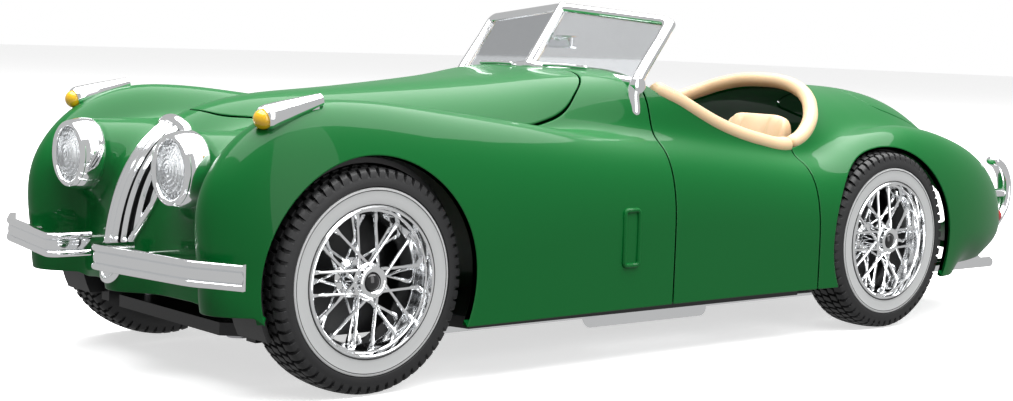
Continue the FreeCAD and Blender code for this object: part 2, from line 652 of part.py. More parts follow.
def save_pair(name, shape):
    """A left piece and its mirror image on the right."""
    save(name + "_left", shape)
    save(name + "_right", mirrored(shape))


os.makedirs("parts", exist_ok=True)
inner, body, door, bonnet, grille = body_pieces()
save("body_shell", body)
save_pair("door", door)
save("bonnet", bonnet)
save("grille", grille)
save_pair("door_roll", door_roll(door))
save_pair("door_trim", door_trim(inner))
save("cockpit_rim", cockpit_rim(body))
save("chassis_plate", chassis(inner))
save("chassis_screws", screws())
save("exhaust_pipe", exhaust())
WHEEL = wheel()
for name, piece in place_wheels().items():
    save(name, piece)
for name, s, x in (("front_axle", 0, FRONT_WHEEL_X), ("rear_axle", WHEELBASE, REAR_WHEEL_X)):
    save(name, rod(V(-x - 2.6, s, AXLE_Z), V(x + 2.6, s, AXLE_Z), AXLE_R))
bezel, lamp_lens = headlamp()
save_pair("headlamp_pod", bezel)
save_pair("headlamp_lens", lamp_lens)
torpedo, amber = sidelight()
save_pair("sidelight", torpedo)
save_pair("sidelight_lens", amber)
save_pair("front_bumper", bumper())
frame, pane, mirror = windscreen()
save("windscreen_frame", frame)
save_pair("windscreen_glass", pane)
save("mirror", mirror)
save("cockpit_tub", tub())
save_pair("seat", seat())
save("dashboard", dashboard(inner, body))
steering_wheel, column = steering()
save("steering_wheel", steering_wheel)
save("steering_column", column)
save("engine_block", engine())
save("rear_overriders", overriders())
save("tail_lamps", tail_lamps())
save("side_vents", vents())
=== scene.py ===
# %% [markdown]
# A diecast collector car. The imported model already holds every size, joint and place, so this
# lesson only dresses it: each CAD piece gets a finish, or a smoother surface worked out with
# arrays that stands in its place. We begin by loading that model and keeping its outer box.

# %% Load the fixed frame
import json
import math

import bpy
import numpy as np
from mathutils import Matrix, Vector


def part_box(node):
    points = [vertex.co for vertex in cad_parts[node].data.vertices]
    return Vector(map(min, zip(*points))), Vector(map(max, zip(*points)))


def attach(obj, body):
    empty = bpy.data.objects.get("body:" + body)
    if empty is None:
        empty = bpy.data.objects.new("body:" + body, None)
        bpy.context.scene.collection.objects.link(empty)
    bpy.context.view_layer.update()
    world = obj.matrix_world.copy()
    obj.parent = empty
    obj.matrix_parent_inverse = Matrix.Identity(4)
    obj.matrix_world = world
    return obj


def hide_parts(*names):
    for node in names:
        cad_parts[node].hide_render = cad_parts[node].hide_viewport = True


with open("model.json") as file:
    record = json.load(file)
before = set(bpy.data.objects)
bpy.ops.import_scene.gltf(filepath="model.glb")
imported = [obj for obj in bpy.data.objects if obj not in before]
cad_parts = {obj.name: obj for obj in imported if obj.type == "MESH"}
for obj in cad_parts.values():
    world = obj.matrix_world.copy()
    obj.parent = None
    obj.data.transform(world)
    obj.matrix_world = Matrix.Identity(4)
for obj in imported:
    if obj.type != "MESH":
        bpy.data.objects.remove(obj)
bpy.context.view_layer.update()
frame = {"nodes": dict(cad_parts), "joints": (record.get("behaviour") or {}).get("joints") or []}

MM = 0.001

# %% [markdown]
# A car maker measures along the car from the front axle. We do the same: a "station" s is the
# distance behind the front axle in millimetres, x is measured from the middle and z from the table.
# The two axles of the frame give the starting point and the wheelbase.

# %% Stations measured from the front axle


def middle(node):
    """The middle of a CAD node's box, in millimetres, with its y as a station."""
    low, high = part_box(node)
    centre = (np.array(low) + np.array(high)) / 2 / MM
    return centre - np.array([0.0, station_zero, 0.0])


station_zero = 0.0
station_zero = middle("front_axle")[1]
wheelbase = middle("rear_axle")[1]
axle_z = middle("front_axle")[2]
print("front axle at y", round(station_zero, 2), "wheelbase", round(wheelbase, 2))

# %% [markdown]
# The painted body is one flowing surface: a cabin, two front wings, two rear haunches and a low
# hull that melt into each other. Each is a rounded volume whose width and height follow driving
# curves along the car, so the whole body can be asked one question: is this point inside or
# outside? That is easier to shape than a net of patches, and it never tears where volumes meet.

# %% Driving curves of the body
CROWN_Z = ((-30, 37.0), (-8, 37.2), (8, 38.3), (20, 39.3), (33, 40.5), (50, 42.2),
           (60, 42.6), (80, 41.6), (100, 40.6), (118, 39.9), (160, 39.0))
CABIN_HALF = ((-24, 5.6), (-12, 7.4), (0, 10.2), (16, 14.2), (38, 19.4), (52, 22.7), (60, 23.4),
              (75, 23.3), (90, 22.4), (113, 21.0), (131, 20.0), (143, 19.0), (156, 17.0))
CABIN_FLAT_Z = ((-24, 11), (0, 18), (20, 22), (40, 24), (60, 25), (90, 25), (113, 20), (130, 12), (156, 8))
CABIN_POWER = ((-24, 2.5), (0, 2.4), (20, 2.7), (38, 3.4), (52, 5.0), (60, 5.5), (80, 5.0),
               (90, 3.8), (100, 2.6), (113, 2.3), (131, 2.3), (156, 2.3))
WING_Z = ((-30, 38.0), (-8, 38.0), (2, 37.8), (14, 36.6), (28, 34.9), (44, 32.8), (56, 31.4),
          (75, 29.4), (92, 27.6), (110, 26.0))
WING_X = ((-26, 29.4), (-10, 30.6), (2, 31.0), (20, 30.6), (56, 29.3), (90, 28.6), (110, 28.6))
WING_HALF = ((-26, 6.2), (-12, 6.8), (0, 7.6), (16, 7.8), (36, 6.8), (56, 5.6), (90, 5.2), (110, 5.0))
WING_FLAT_Z = ((-26, 18), (-12, 16), (0, 15), (20, 17), (56, 19), (90, 18), (110, 17))
HAUNCH_Z = ((80, 22.5), (90, 25.8), (100, 29.8), (108, 32.6), (115, 33.6), (122, 33.4), (132, 32.6),
            (156, 31.5))
HAUNCH_X = ((80, 28.8), (92, 28.9), (108, 29.9), (120, 29.6), (135, 28.6), (150, 26.5), (160, 25.0))
HAUNCH_HALF = ((80, 6.0), (95, 6.6), (112, 7.4), (130, 8.0), (150, 8.6), (160, 8.6))
LOW_HALF = ((-24, 24.5), (0, 25), (60, 26.5), (108, 26), (140, 24), (156, 21))
LOW_Z = ((-24, 31.0), (-12, 32.4), (-2, 33.6), (8, 33.8), (20, 32.5), (40, 30.5), (60, 29.5),
         (90, 27.5), (108, 30), (125, 32), (156, 30))
TUCK = ((-30, 16), (-12, 30), (0, 90), (110, 90), (126, 15), (140, 9.0), (156, 8.6))
SCOOP_Z = ((50, 60), (55, 42), (57, 39.9), (62, 37.4), (70, 33.9), (80, 31.2), (88, 30.3),
           (92, 31.2), (97, 33.6), (102, 36.2), (106, 38.6), (108.5, 41.5), (111, 50))
BLEND = 0.9
LAMP_X, LAMP_Z = 14.1, 28.5
POD_R, POD_Z, POD_FRONT = 5.2, 28.2, -17


def curve(points, s):
    """Cubic through the points; each slope is the mean of its two chords, weighted by the far span."""
    known = np.array(points, float)
    at, value = known[:, 0], known[:, 1]
    span = np.diff(at)
    chord = np.diff(value) / span
    middles = (chord[:-1] * span[1:] + chord[1:] * span[:-1]) / (span[1:] + span[:-1])
    slope = np.concatenate([chord[:1], middles, chord[-1:]])
    s = np.clip(s, at[0], at[-1])
    i = np.clip(np.searchsorted(at, s) - 1, 0, len(at) - 2)
    t = (s - at[i]) / span[i]
    start = (2 * t - 3) * t * t + 1
    return (start * value[i] + (1 - start) * value[i + 1]
            + ((t - 2) * t + 1) * t * span[i] * slope[i] + (t - 1) * t * t * span[i] * slope[i + 1])


def over(value):
    """The value where it is positive, or 0."""
    return np.maximum(value, 0.0)


def body_depth(x, s, z):
    """Below 0 inside the body: each volume is a rounded box measure, and the smallest wins softly."""
    x = np.abs(x)
    crown, half = curve(CROWN_Z, s), curve(CABIN_HALF, s)
    flat, power = curve(CABIN_FLAT_Z, s), curve(CABIN_POWER, s)
    tuck = (over(16 - z) / curve(TUCK, s)) ** 2.5
    end = (over(6 - s) / 28.2) ** 2.7 + (over(s - 116) / 38.0) ** 2.5 + tuck
    across = (x / half) ** power + (over(z - flat) / (crown - flat)) ** power
    cabin = ((across ** (2.5 / power) + end) ** 0.4 - 1) * np.minimum(half, 14)

    half = curve(WING_HALF, s)
    side = np.abs(x - curve(WING_X, s) + half) / half
    flat = curve(WING_FLAT_Z, s)
    up = over(z - flat) / (curve(WING_Z, s) - flat)
    rise = np.clip((z - 14) / 15, 0, 1)
    reach = 20.6 + 1.7 * rise * rise * (3 - 2 * rise)
    ends = (over(-1 - s) / reach) ** 2.4 + (over(s - 92) / 18.0) ** 2.3 + tuck
    wing = ((side ** 2.3 + up ** 2.3 + (over(flat - z) / 60.0) ** 2.3 + ends) ** (1 / 2.3) - 1) * half

    half = curve(HAUNCH_HALF, s)
    side = np.abs(x - curve(HAUNCH_X, s) + half) / half
    up = over(z - 15) / (curve(HAUNCH_Z, s) - 15)
    ends = (over(100 - s) / 25.0) ** 2.2 + (over(s - 112) / 39.5) ** 2.3 + tuck
    haunch = ((side ** 2.3 + up ** 2.3 + (over(15 - z) / 60.0) ** 2.3 + ends) ** (1 / 2.3) - 1) * half

    ends = (over(-s) / 17.6) ** 3.2 + (over(s - 112) / 41.0) ** 3.0 + tuck
    up = over(z - 12) / (curve(LOW_Z, s) - 12)
    low = (((x / curve(LOW_HALF, s)) ** 4 + up ** 3.6 + ends) ** (1 / 3.2) - 1) * 12

    reach = np.where(s < POD_FRONT, 2.2, 23.0)
    pod = ((x - LAMP_X) / POD_R) ** 2 + ((z - POD_Z) / POD_R) ** 2 + ((s - POD_FRONT) / reach) ** 2
    pod = (np.sqrt(pod) - 1) * POD_R
    total = sum(np.exp(-np.clip(depth / BLEND, -40, 40)) for depth in (cabin, wing, haunch, low, pod))
    return -BLEND * np.log(total)


def body_slope(points, step=0.02):
    """How fast the depth grows along each axis, from differences across a short step."""
    x, s, z = points.T
    return np.stack([body_depth(x + step, s, z) - body_depth(x - step, s, z),
                     body_depth(x, s + step, z) - body_depth(x, s - step, z),
                     body_depth(x, s, z + step) - body_depth(x, s, z - step)], -1) / (2 * step)


def body_normal(points):
    """The direction in which the depth grows fastest."""
    slope = body_slope(points, 0.04)
    return slope / np.maximum(np.linalg.norm(slope, axis=1, keepdims=True), 1e-9)


def settle(inside, outside, where):
    """Halves the gap between an inside and an outside value until both meet the skin."""
    for _ in range(24):
        half_way = (inside + outside) / 2
        out = where(half_way) > 0
        outside = np.where(out, half_way, outside)
        inside = np.where(out, inside, half_way)
    return inside


def skin_x(s, z):
    """How far out the skin is at each station and height."""
    s = np.asarray(s, float)
    return settle(np.zeros_like(s), np.full_like(s, 40.0), lambda x: body_depth(x, s, z))


def skin_z(x, s):
    """How high the skin is above each place in plan."""
    x, s = np.broadcast_arrays(np.asarray(x, float), np.asarray(s, float))
    return settle(np.full(x.shape, 14.0), np.full(x.shape, 60.0), lambda z: body_depth(x, s, z))


def nose_s(x, z):
    """The foremost station of the skin at this place seen from the front."""
    x, z = np.broadcast_arrays(np.asarray(x, float), np.asarray(z, float))
    return settle(np.full(x.shape, 0.0), np.full(x.shape, -40.0), lambda s: body_depth(x, s, z))


# %% [markdown]
# To draw the surface we fill its space with small cubes and ask for the depth at each corner. Every
# cube that holds both inside and outside corners gets one point, and four such cubes that share an
# edge make one face: a "surface net". It spreads its points evenly, even in the creases beside the
# lamps, where a sheet of squares laid over the car would be stretched. Each point is pulled onto the
# true skin, and a few rounds of averaging with its neighbours even out the spacing.

# %% The body's skin as a surface net
CUBE = 0.68
NET_COLUMNS = 50
NET_S = (-25.5, 154.5)
NET_Z = (7.0, 44.0)


def skin_net(cube=CUBE):
    """Points and triangles of the skin; the left half is worked out and its depths mirrored."""
    half = np.arange(0, NET_COLUMNS) * cube
    s = np.arange(*NET_S, cube)
    z = np.arange(*NET_Z, cube)
    depth = body_depth(half[:, None, None], s[None, :, None], z[None, None, :])
    depth = np.concatenate([depth[:0:-1], depth])
    x = np.concatenate([-half[:0:-1], half])
    inside = depth < 0
    corners = [inside[i:i + inside.shape[0] - 1, j:j + inside.shape[1] - 1, k:k + inside.shape[2] - 1]
               for i in (0, 1) for j in (0, 1) for k in (0, 1)]
    crossed = np.any(corners, axis=0) & ~np.all(corners, axis=0)
    index = np.full(crossed.shape, -1)
    index[crossed] = np.arange(crossed.sum())
    i, j, k = np.nonzero(crossed)
    points = np.stack([x[i], s[j], z[k]], -1) + cube / 2
    faces = []
    for axis in range(3):
        solid = np.moveaxis(inside, axis, 0)
        change = np.moveaxis(solid[1:] != solid[:-1], 0, axis)
        others = [a for a in range(3) if a != axis]
        a, b, c = np.nonzero(change)
        place = np.stack([a, b, c], -1)
        limit = np.array(index.shape)
        keep = np.all((place[:, others] > 0) & (place[:, others] < limit[others]), axis=1)
        place = place[keep]
        quad = []
        for first, second in ((1, 1), (0, 1), (0, 0), (1, 0)):
            at = place.copy()
            at[:, others[0]] -= first
            at[:, others[1]] -= second
            quad.append(index[at[:, 0], at[:, 1], at[:, 2]])
        faces.append(np.stack(quad, -1))
    quads = np.concatenate(faces)
    points = onto_skin(points)
    for _ in range(3):
        total, count = np.zeros_like(points), np.zeros(len(points))
        for corner in range(4):
            beside = points[quads[:, (corner + 1) % 4]] + points[quads[:, corner - 1]]
            np.add.at(total, quads[:, corner], beside)
            np.add.at(count, quads[:, corner], 2)
        inner = points[:, 2] > z[1] + cube
        points[inner] = (points * 0.4 + 0.6 * total / np.maximum(count, 1)[:, None])[inner]
        points = onto_skin(points)
    return points, np.concatenate([quads[:, [0, 1, 2]], quads[:, [0, 2, 3]]])


def onto_skin(points):
    """Newton's steps: each moves a point down the slope by the depth divided by the slope's length."""
    for _ in range(5):
        slope = body_slope(points)
        move = slope * (body_depth(*points.T) / np.maximum((slope ** 2).sum(1), 0.05))[:, None]
        length = np.linalg.norm(move, axis=1, keepdims=True)
        points = points - move * np.minimum(1, 0.4 / np.maximum(length, 1e-9))
    return points


skin_points, skin_faces = skin_net()
skin_normals = body_normal(skin_points)
corner = skin_points[skin_faces]
facing = np.einsum("ij,ij->i", np.cross(corner[:, 1] - corner[:, 0], corner[:, 2] - corner[:, 0]),
                   skin_normals[skin_faces].sum(1))
skin_faces = np.where((facing < 0)[:, None], skin_faces[:, ::-1], skin_faces)
print("skin:", len(skin_points), "points,", len(skin_faces), "triangles")

# %% [markdown]
# Panels are cut out of that skin. A cut is a function that is positive on the side we keep, and
# every triangle that straddles its zero line is trimmed there, so a shut line is as smooth as its
# formula. A second, finer trim just inside the edge lets the rim roll over, as pressed metal does.

# %% Trimming a triangle mesh along a level line


def trim(mesh, level, keep_both=False):
    """Splits each straddling triangle where the level is zero, by straight shares along its edges."""
    points, normals, faces = mesh
    level = np.where(np.abs(level) < 1e-4, 1e-4, level)
    inside = level > 0
    count = inside[faces].sum(1)
    parts = [faces[count == 3]]
    if keep_both:
        parts.append(faces[count == 0])
    mixed = faces[(count == 1) | (count == 2)]
    if len(mixed):
        lone_inside = inside[mixed].sum(1) == 1
        odd = np.where(lone_inside[:, None], inside[mixed], ~inside[mixed]).argmax(1)
        a, b, c = (mixed[np.arange(len(mixed)), (odd + k) % 3] for k in range(3))
        edges = np.sort(np.concatenate([np.stack([a, b], -1), np.stack([a, c], -1)]), axis=1)
        unique, back = np.unique(edges, axis=0, return_inverse=True)
        back = back.reshape(-1)
        share = (level[unique[:, 0]] / (level[unique[:, 0]] - level[unique[:, 1]]))[:, None]
        new_points = points[unique[:, 0]] * (1 - share) + points[unique[:, 1]] * share
        new_normals = normals[unique[:, 0]] * (1 - share) + normals[unique[:, 1]] * share
        new_normals /= np.linalg.norm(new_normals, axis=1, keepdims=True)
        ab = len(points) + back[:len(a)]
        ac = len(points) + back[len(a):]
        points = np.concatenate([points, new_points])
        normals = np.concatenate([normals, new_normals])
        tip = np.stack([a, ab, ac], -1)
        foot = np.concatenate([np.stack([ab, b, c], -1), np.stack([ab, c, ac], -1)])
        twice = np.concatenate([lone_inside, lone_inside])
        parts += [tip[lone_inside], foot[~twice]]
        if keep_both:
            parts += [tip[~lone_inside], foot[twice]]
    faces = np.concatenate(parts)
    used, faces = np.unique(faces, return_inverse=True)
    return points[used], normals[used], faces.reshape(-1, 3)


def level_slope(cut, points):
    """How a cut's level changes across a short step along each axis."""
    step = 0.02
    slopes = []
    for axis in range(3):
        shift = np.zeros(3)
        shift[axis] = step
        slopes.append((cut(points + shift) - cut(points - shift)) / (2 * step))
    return np.stack(slopes, -1)


def cut_edge(mesh, cut, roll=0.16):
    """Trims along the cut, then rolls the last bit of skin over: its edge drops and its normals lean out."""
    mesh = trim(mesh, cut(mesh[0]))
    points, normals, faces = trim(mesh, cut(mesh[0]) - roll, keep_both=True)
    share = np.clip(1 - cut(points) / roll, 0, 1)
    rolled = share > 1e-6
    slope = level_slope(cut, points[rolled])
    slope -= normals[rolled] * np.einsum("ij,ij->i", slope, normals[rolled])[:, None]
    slope /= np.maximum(np.linalg.norm(slope, axis=1, keepdims=True), 1e-9)
    part = share[rolled][:, None]
    points[rolled] -= normals[rolled] * (0.6 * roll * part ** 2)
    normals[rolled] -= slope * part
    normals[rolled] /= np.linalg.norm(normals[rolled], axis=1, keepdims=True)
    return points, normals, faces


# %% [markdown]
# Each opening of the real body gets its cut: the cockpit's scoop, the wheel arches, the bonnet,
# the doors, the boot lid, the grille's egg and the round holes for the headlamps. The door's rear
# edge is an arc about its own hinge, so that it clears the body as it swings.

# %% The cuts of the body
GAP = 0.25
BOOT_LINE = 0.14
ARCH_RS = (16.3, 15.7)
hinges = {joint["name"]: joint for joint in frame["joints"]}
HINGE_X = hinges["door_left_hinge"]["pos_m"][0] / MM
HINGE_S = hinges["door_left_hinge"]["pos_m"][1] / MM - station_zero
DOOR_R = 33.3
DOOR_INNER_X = 18.6


def closed_outline(points, steps=24):
    """A smooth closed line through the points: each span is a cubic whose slopes join its neighbours."""
    points = np.array(points, float)
    before, after, next_one = np.roll(points, 1, 0), np.roll(points, -1, 0), np.roll(points, -2, 0)
    t = np.linspace(0, 1, steps, endpoint=False)[:, None, None]
    bend = 2 * before - 5 * points + 4 * after - next_one
    line = 0.5 * (2 * points + (after - before) * t + bend * t ** 2
                  + (3 * points - before - 3 * after + next_one) * t ** 3)
    return line.transpose(1, 0, 2).reshape(-1, 2)


def both_sides(half, first, last):
    """A symmetric outline from its half: the two ends lie on the middle line."""
    return [(0, first)] + list(half) + [(0, last)] + [(-a, b) for a, b in reversed(half)]


def inside_outline(outline, a, b):
    """Distance to the closed line, positive inside it: an even-odd count gives the sign."""
    p, q = outline, np.roll(outline, -1, 0)
    way = q - p
    out = np.empty(len(a))
    for k in range(0, len(a), 20000):
        here = np.stack([a[k:k + 20000], b[k:k + 20000]], -1)[:, None, :]
        t = np.clip(((here - p) * way).sum(-1) / (way ** 2).sum(-1), 0, 1)
        distance = np.sqrt((((p + way * t[..., None]) - here) ** 2).sum(-1)).min(1)
        crosses = (p[:, 1] > here[..., 1]) != (q[:, 1] > here[..., 1])
        at = p[:, 0] + (here[..., 1] - p[:, 1]) / np.where(way[:, 1] == 0, 1e-12, way[:, 1]) * way[:, 0]
        odd = (crosses & (here[..., 0] < at)).sum(1) % 2 == 1
        out[k:k + 20000] = np.where(odd, distance, -distance)
    return out


BONNET = closed_outline(both_sides(((3.4, -8.0), (6.0, -3.6), (8.9, 3), (12.7, 16), (15.8, 28), (18.3, 37.5),
                                    (18.4, 43.6), (13.8, 48.2)), -9.6, 49.8))
BOOT = closed_outline(both_sides(((6.0, 121.3), (10.6, 123.0), (11.8, 128), (11.4, 138), (10.6, 146),
                                  (9.0, 150), (5.0, 151.6)), 121.0, 152.0))
EGG = closed_outline(both_sides(((1.7, 13.6), (2.7, 17), (3.8, 20.5), (4.8, 24), (5.2, 27.5), (4.8, 30.5),
                                 (3.6, 32.6), (1.8, 33.7)), 12.8, 34.0))


def scoop_cut(p):
    return curve(SCOOP_Z, p[:, 1]) - p[:, 2]


def arch_cut(p):
    front = np.hypot(p[:, 1], p[:, 2] - axle_z) - ARCH_RS[0]
    return np.minimum(front, np.hypot(p[:, 1] - wheelbase, p[:, 2] - axle_z) - ARCH_RS[1])


def chin_cut(p):
    return p[:, 2] - np.interp(p[:, 1], [-40, -17, -12.5, 126, 138, 170], [11.9, 11.2, 8.0, 8.0, 9.8, 10.4])


def bonnet_cut(p):
    return np.where(p[:, 2] > 20, inside_outline(BONNET, p[:, 0], p[:, 1]), -50)


def boot_cut(p):
    return np.where(p[:, 2] > 17, inside_outline(BOOT, p[:, 0], p[:, 1]), -50)


def door_cut(p):
    reach = DOOR_R - np.hypot(np.abs(p[:, 0]) - HINGE_X, p[:, 1] - HINGE_S)
    return np.minimum(np.minimum(p[:, 1] - HINGE_S - GAP / 2, reach), np.abs(p[:, 0]) - DOOR_INNER_X)


def grille_cut(p):
    return np.where(p[:, 1] < 0, inside_outline(EGG, p[:, 0], p[:, 2]), -50)


def lamp_cut(p):
    away = np.hypot(np.abs(p[:, 0]) - LAMP_X, p[:, 2] - LAMP_Z + 0.3)
    return np.maximum(away - 4.6, p[:, 1] + 16)


def outside(cut, gap):
    """The same cut, keeping what lies beyond it, with a shut line's width to spare."""
    return lambda p: -cut(p) - gap


shell = (skin_points, skin_normals, skin_faces)
for cut in (scoop_cut, arch_cut, chin_cut):
    shell = cut_edge(shell, cut)
bonnet_skin = cut_edge(cut_edge(shell, bonnet_cut), outside(grille_cut, 0.0))
boot_skin = cut_edge(shell, boot_cut)
door_skin = cut_edge(shell, door_cut)
body_skin = shell
for cut in (outside(bonnet_cut, GAP), outside(boot_cut, BOOT_LINE), outside(door_cut, GAP),
            outside(grille_cut, 0.0), lamp_cut):
    body_skin = cut_edge(body_skin, cut)
print("body", len(body_skin[2]), "door pair", len(door_skin[2]), "bonnet", len(bonnet_skin[2]), "triangles")

# %% [markdown]
# A skin has no thickness yet. The casting is about 1.2 mm thick, so we add an inner copy, pushed in
# along the normals, and a wall along every free edge. The outer faces keep the exact normals of the
# formula, so glossy paint reflects cleanly whatever the triangles look like.

# %% From a skin to a closed piece
SKIN = 1.2


def thicken(mesh, wall=SKIN):
    """Outer face, inner face and a wall on each free edge, with a normal for every face corner."""
    points, normals, faces = mesh
    count = len(points)
    inner = points - normals * wall
    edges = np.concatenate([faces[:, [0, 1]], faces[:, [1, 2]], faces[:, [2, 0]]])
    key = np.sort(edges, axis=1)
    _, back, times = np.unique(key, axis=0, return_inverse=True, return_counts=True)
    free = edges[times[back.reshape(-1)] == 1]
    i, j = free[:, 0], free[:, 1]
    walls = np.concatenate([np.stack([j, i, i + count], -1), np.stack([j, i + count, j + count], -1)])
    all_points = np.concatenate([points, inner])
    all_faces = np.concatenate([faces, faces[:, ::-1] + count, walls])
    corner = all_points[walls]
    flat = np.cross(corner[:, 1] - corner[:, 0], corner[:, 2] - corner[:, 0])
    flat /= np.maximum(np.linalg.norm(flat, axis=1, keepdims=True), 1e-12)
    loop_normals = np.concatenate([normals[faces].reshape(-1, 3), -normals[faces[:, ::-1]].reshape(-1, 3),
                                   np.repeat(flat, 3, axis=0)])
    return all_points, all_faces, loop_normals


def mesh_object(name, points, faces, loop_normals=None, sharp_angle=None):
    """Puts arrays into a mesh object: points in millimetres and stations, faces as rows of corners."""
    points = np.asarray(points, float).reshape(-1, 3)
    groups = [np.asarray(group) for group in (faces if isinstance(faces, list) else [faces]) if len(group)]
    place = (points + np.array([0.0, station_zero, 0.0])) * MM
    mesh = bpy.data.meshes.new(name)
    mesh.vertices.add(len(place))
    mesh.vertices.foreach_set("co", place.astype(np.float32).ravel())
    corners = np.concatenate([group.ravel() for group in groups])
    totals = np.concatenate([np.full(len(group), group.shape[1]) for group in groups])
    mesh.loops.add(len(corners))
    mesh.loops.foreach_set("vertex_index", corners.astype(np.int32))
    mesh.polygons.add(len(totals))
    mesh.polygons.foreach_set("loop_start", (np.cumsum(totals) - totals).astype(np.int32))
    mesh.polygons.foreach_set("use_smooth", np.ones(len(totals), bool))
    mesh.update(calc_edges=True)
    mesh.validate()
    if loop_normals is not None:
        mesh.normals_split_custom_set(loop_normals.tolist())
    if sharp_angle:
        mesh.set_sharp_from_angle(angle=math.radians(sharp_angle))
    piece = bpy.data.objects.new(name, mesh)
    bpy.context.scene.collection.objects.link(piece)
    return piece


def dress(piece, body, slot, material, *nodes):
    """Gives a piece its finish and the body it rides on, and hides the CAD nodes it stands for; the slot is not
    used.
    """
    piece.data.materials.append(material)
    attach(piece, body)
    if nodes:
        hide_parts(*nodes)
    return piece


def half_of(mesh, side):
    """The part of a mesh on the car's left (1) or right (-1)."""
    points, normals, faces = mesh
    faces = faces[(points[faces][:, :, 0].mean(1) * side) > 0]
    used, faces = np.unique(faces, return_inverse=True)
    return points[used], normals[used], faces.reshape(-1, 3)


# %% [markdown]
# The rest of the car is turned, swept or extruded: wheels on a lathe, tubes and mouldings along a
# path, plates from an outline. Each helper gives the points and faces of one closed solid, and
# checks its signed volume, so that faces always look outwards, on the mirrored side too.

# %% Turned, swept and extruded solids


def grid_quads(rows, columns, close_rows=False, close_columns=True):
    """The four corners of each cell of a grid, joined round where a direction is closed."""
    i, j = np.meshgrid(np.arange(rows - (not close_rows)), np.arange(columns - (not close_columns)),
                       indexing="ij")
    k, m = (i + 1) % rows, (j + 1) % columns
    return np.stack([i * columns + j, k * columns + j, k * columns + m, i * columns + m], -1).reshape(-1, 4)


def outward(points, faces):
    """Turns the faces round if the volume summed over their fans of triangles is below 0."""
    volume = 0.0
    for group in faces:
        for k in range(1, group.shape[1] - 1):
            a, b, c = points[group[:, 0]], points[group[:, k]], points[group[:, k + 1]]
            volume += np.einsum("ij,ij->i", a, np.cross(b, c)).sum()
    return points, faces if volume > 0 else [group[:, ::-1] for group in faces]


def weld(points, quads):
    """Merges points that coincide, as at a pole, where a quad becomes a triangle."""
    points, back = np.unique(np.round(points, 5), axis=0, return_inverse=True)
    quads = back.reshape(-1)[quads]
    same = np.stack([quads[:, k] == quads[:, (k + 1) % 4] for k in range(4)], -1)
    whole = quads[~same.any(1)]
    once = same.sum(1) == 1
    fans = [quads[same[:, k] & once][:, [(k + 1) % 4, (k + 2) % 4, (k + 3) % 4]] for k in range(4)]
    return outward(points, [group for group in (whole, np.concatenate(fans)) if len(group)])


def turned(profile, centre, axis, steps=72, closed=False):
    """A profile of (distance along the axis, radius) pairs, carried round the axis."""
    profile = np.array(profile, float)
    turn = np.linspace(0, 2 * math.pi, steps, endpoint=False)
    axis = np.array(axis, float) / np.linalg.norm(axis)
    side = np.cross(axis, [0.0, 0.0, 1.0] if abs(axis[2]) < 0.9 else [1.0, 0.0, 0.0])
    side /= np.linalg.norm(side)
    up = np.cross(side, axis)
    round_way = np.cos(turn)[:, None] * side + np.sin(turn)[:, None] * up
    points = np.array(centre) + profile[:, 0, None, None] * axis + profile[:, 1, None, None] * round_way
    return weld(points.reshape(-1, 3), grid_quads(len(profile), steps, close_rows=closed))


def swept(path, size=1.0, section=None, up=(0, 0, 1), closed=False, sides=14, domed=True):
    """A section carried along a path, square to it; size scales it at each place, and open ends are domed."""
    path = np.asarray(path, float)
    size = np.broadcast_to(np.asarray(size, float), len(path)).astype(float)
    if closed:
        way = np.roll(path, -1, 0) - np.roll(path, 1, 0)
    else:
        way = np.gradient(path, axis=0)
    way /= np.linalg.norm(way, axis=1, keepdims=True)
    if section is None:
        turn = np.linspace(0, 2 * math.pi, sides, endpoint=False)
        section = np.stack([np.cos(turn), np.sin(turn)], -1)
    section = np.asarray(section, float)
    if not closed:
        lean = np.radians([90, 65, 35, 12]) if domed else np.radians([90])
        reach = size[0] * np.sin(lean) if domed else 0 * lean
        first = path[0] - way[0] * reach[:, None]
        reach = size[-1] * np.sin(lean[::-1]) if domed else 0 * lean
        last = path[-1] + way[-1] * reach[:, None]
        path = np.concatenate([first, path, last])
        size = np.concatenate([size[0] * np.cos(lean), size, size[-1] * np.cos(lean[::-1])])
        way = np.concatenate([np.repeat(way[:1], len(lean), 0), way, np.repeat(way[-1:], len(lean), 0)])
    side = np.cross(way, np.array(up, float))
    side /= np.linalg.norm(side, axis=1, keepdims=True)
    top = np.cross(side, way)
    ring = section[:, 0, None] * side[:, None, :] + section[:, 1, None] * top[:, None, :]
    points = path[:, None, :] + ring * size[:, None, None]
    return weld(points.reshape(-1, 3), grid_quads(len(path), len(section), close_rows=closed))


def extruded(outline, low, high, axis):
    """A flat outline carried along one axis; the outline holds the two other coordinates in order."""
    outline = np.array(outline, float)
    count = len(outline)
    points = np.concatenate([np.insert(outline, axis, low, axis=1), np.insert(outline, axis, high, axis=1)])
    ring = np.arange(count)
    after = (ring + 1) % count
    walls = np.stack([ring, after, after + count, ring + count], -1)
    return outward(points, [walls, ring[None, :], ring[None, ::-1] + count])


def block(low, high):
    """A plain block between two corners."""
    outline = [(low[0], low[1]), (high[0], low[1]), (high[0], high[1]), (low[0], high[1])]
    return extruded(outline, low[2], high[2], 2)


def together(solids):
    """Several solids as the points and faces of one piece."""
    points, faces, count = [], [], 0
    for solid_points, solid_faces in solids:
        points.append(solid_points)
        faces += [group + count for group in solid_faces]
        count += len(solid_points)
    return np.concatenate(points), faces


def moved(solid, scale=(1, 1, 1), shift=(0, 0, 0)):
    """A solid scaled about the origin and then moved; a mirrored one is turned outwards again."""
    points, faces = solid
    return outward(points * np.array(scale, float) + np.array(shift, float), faces)


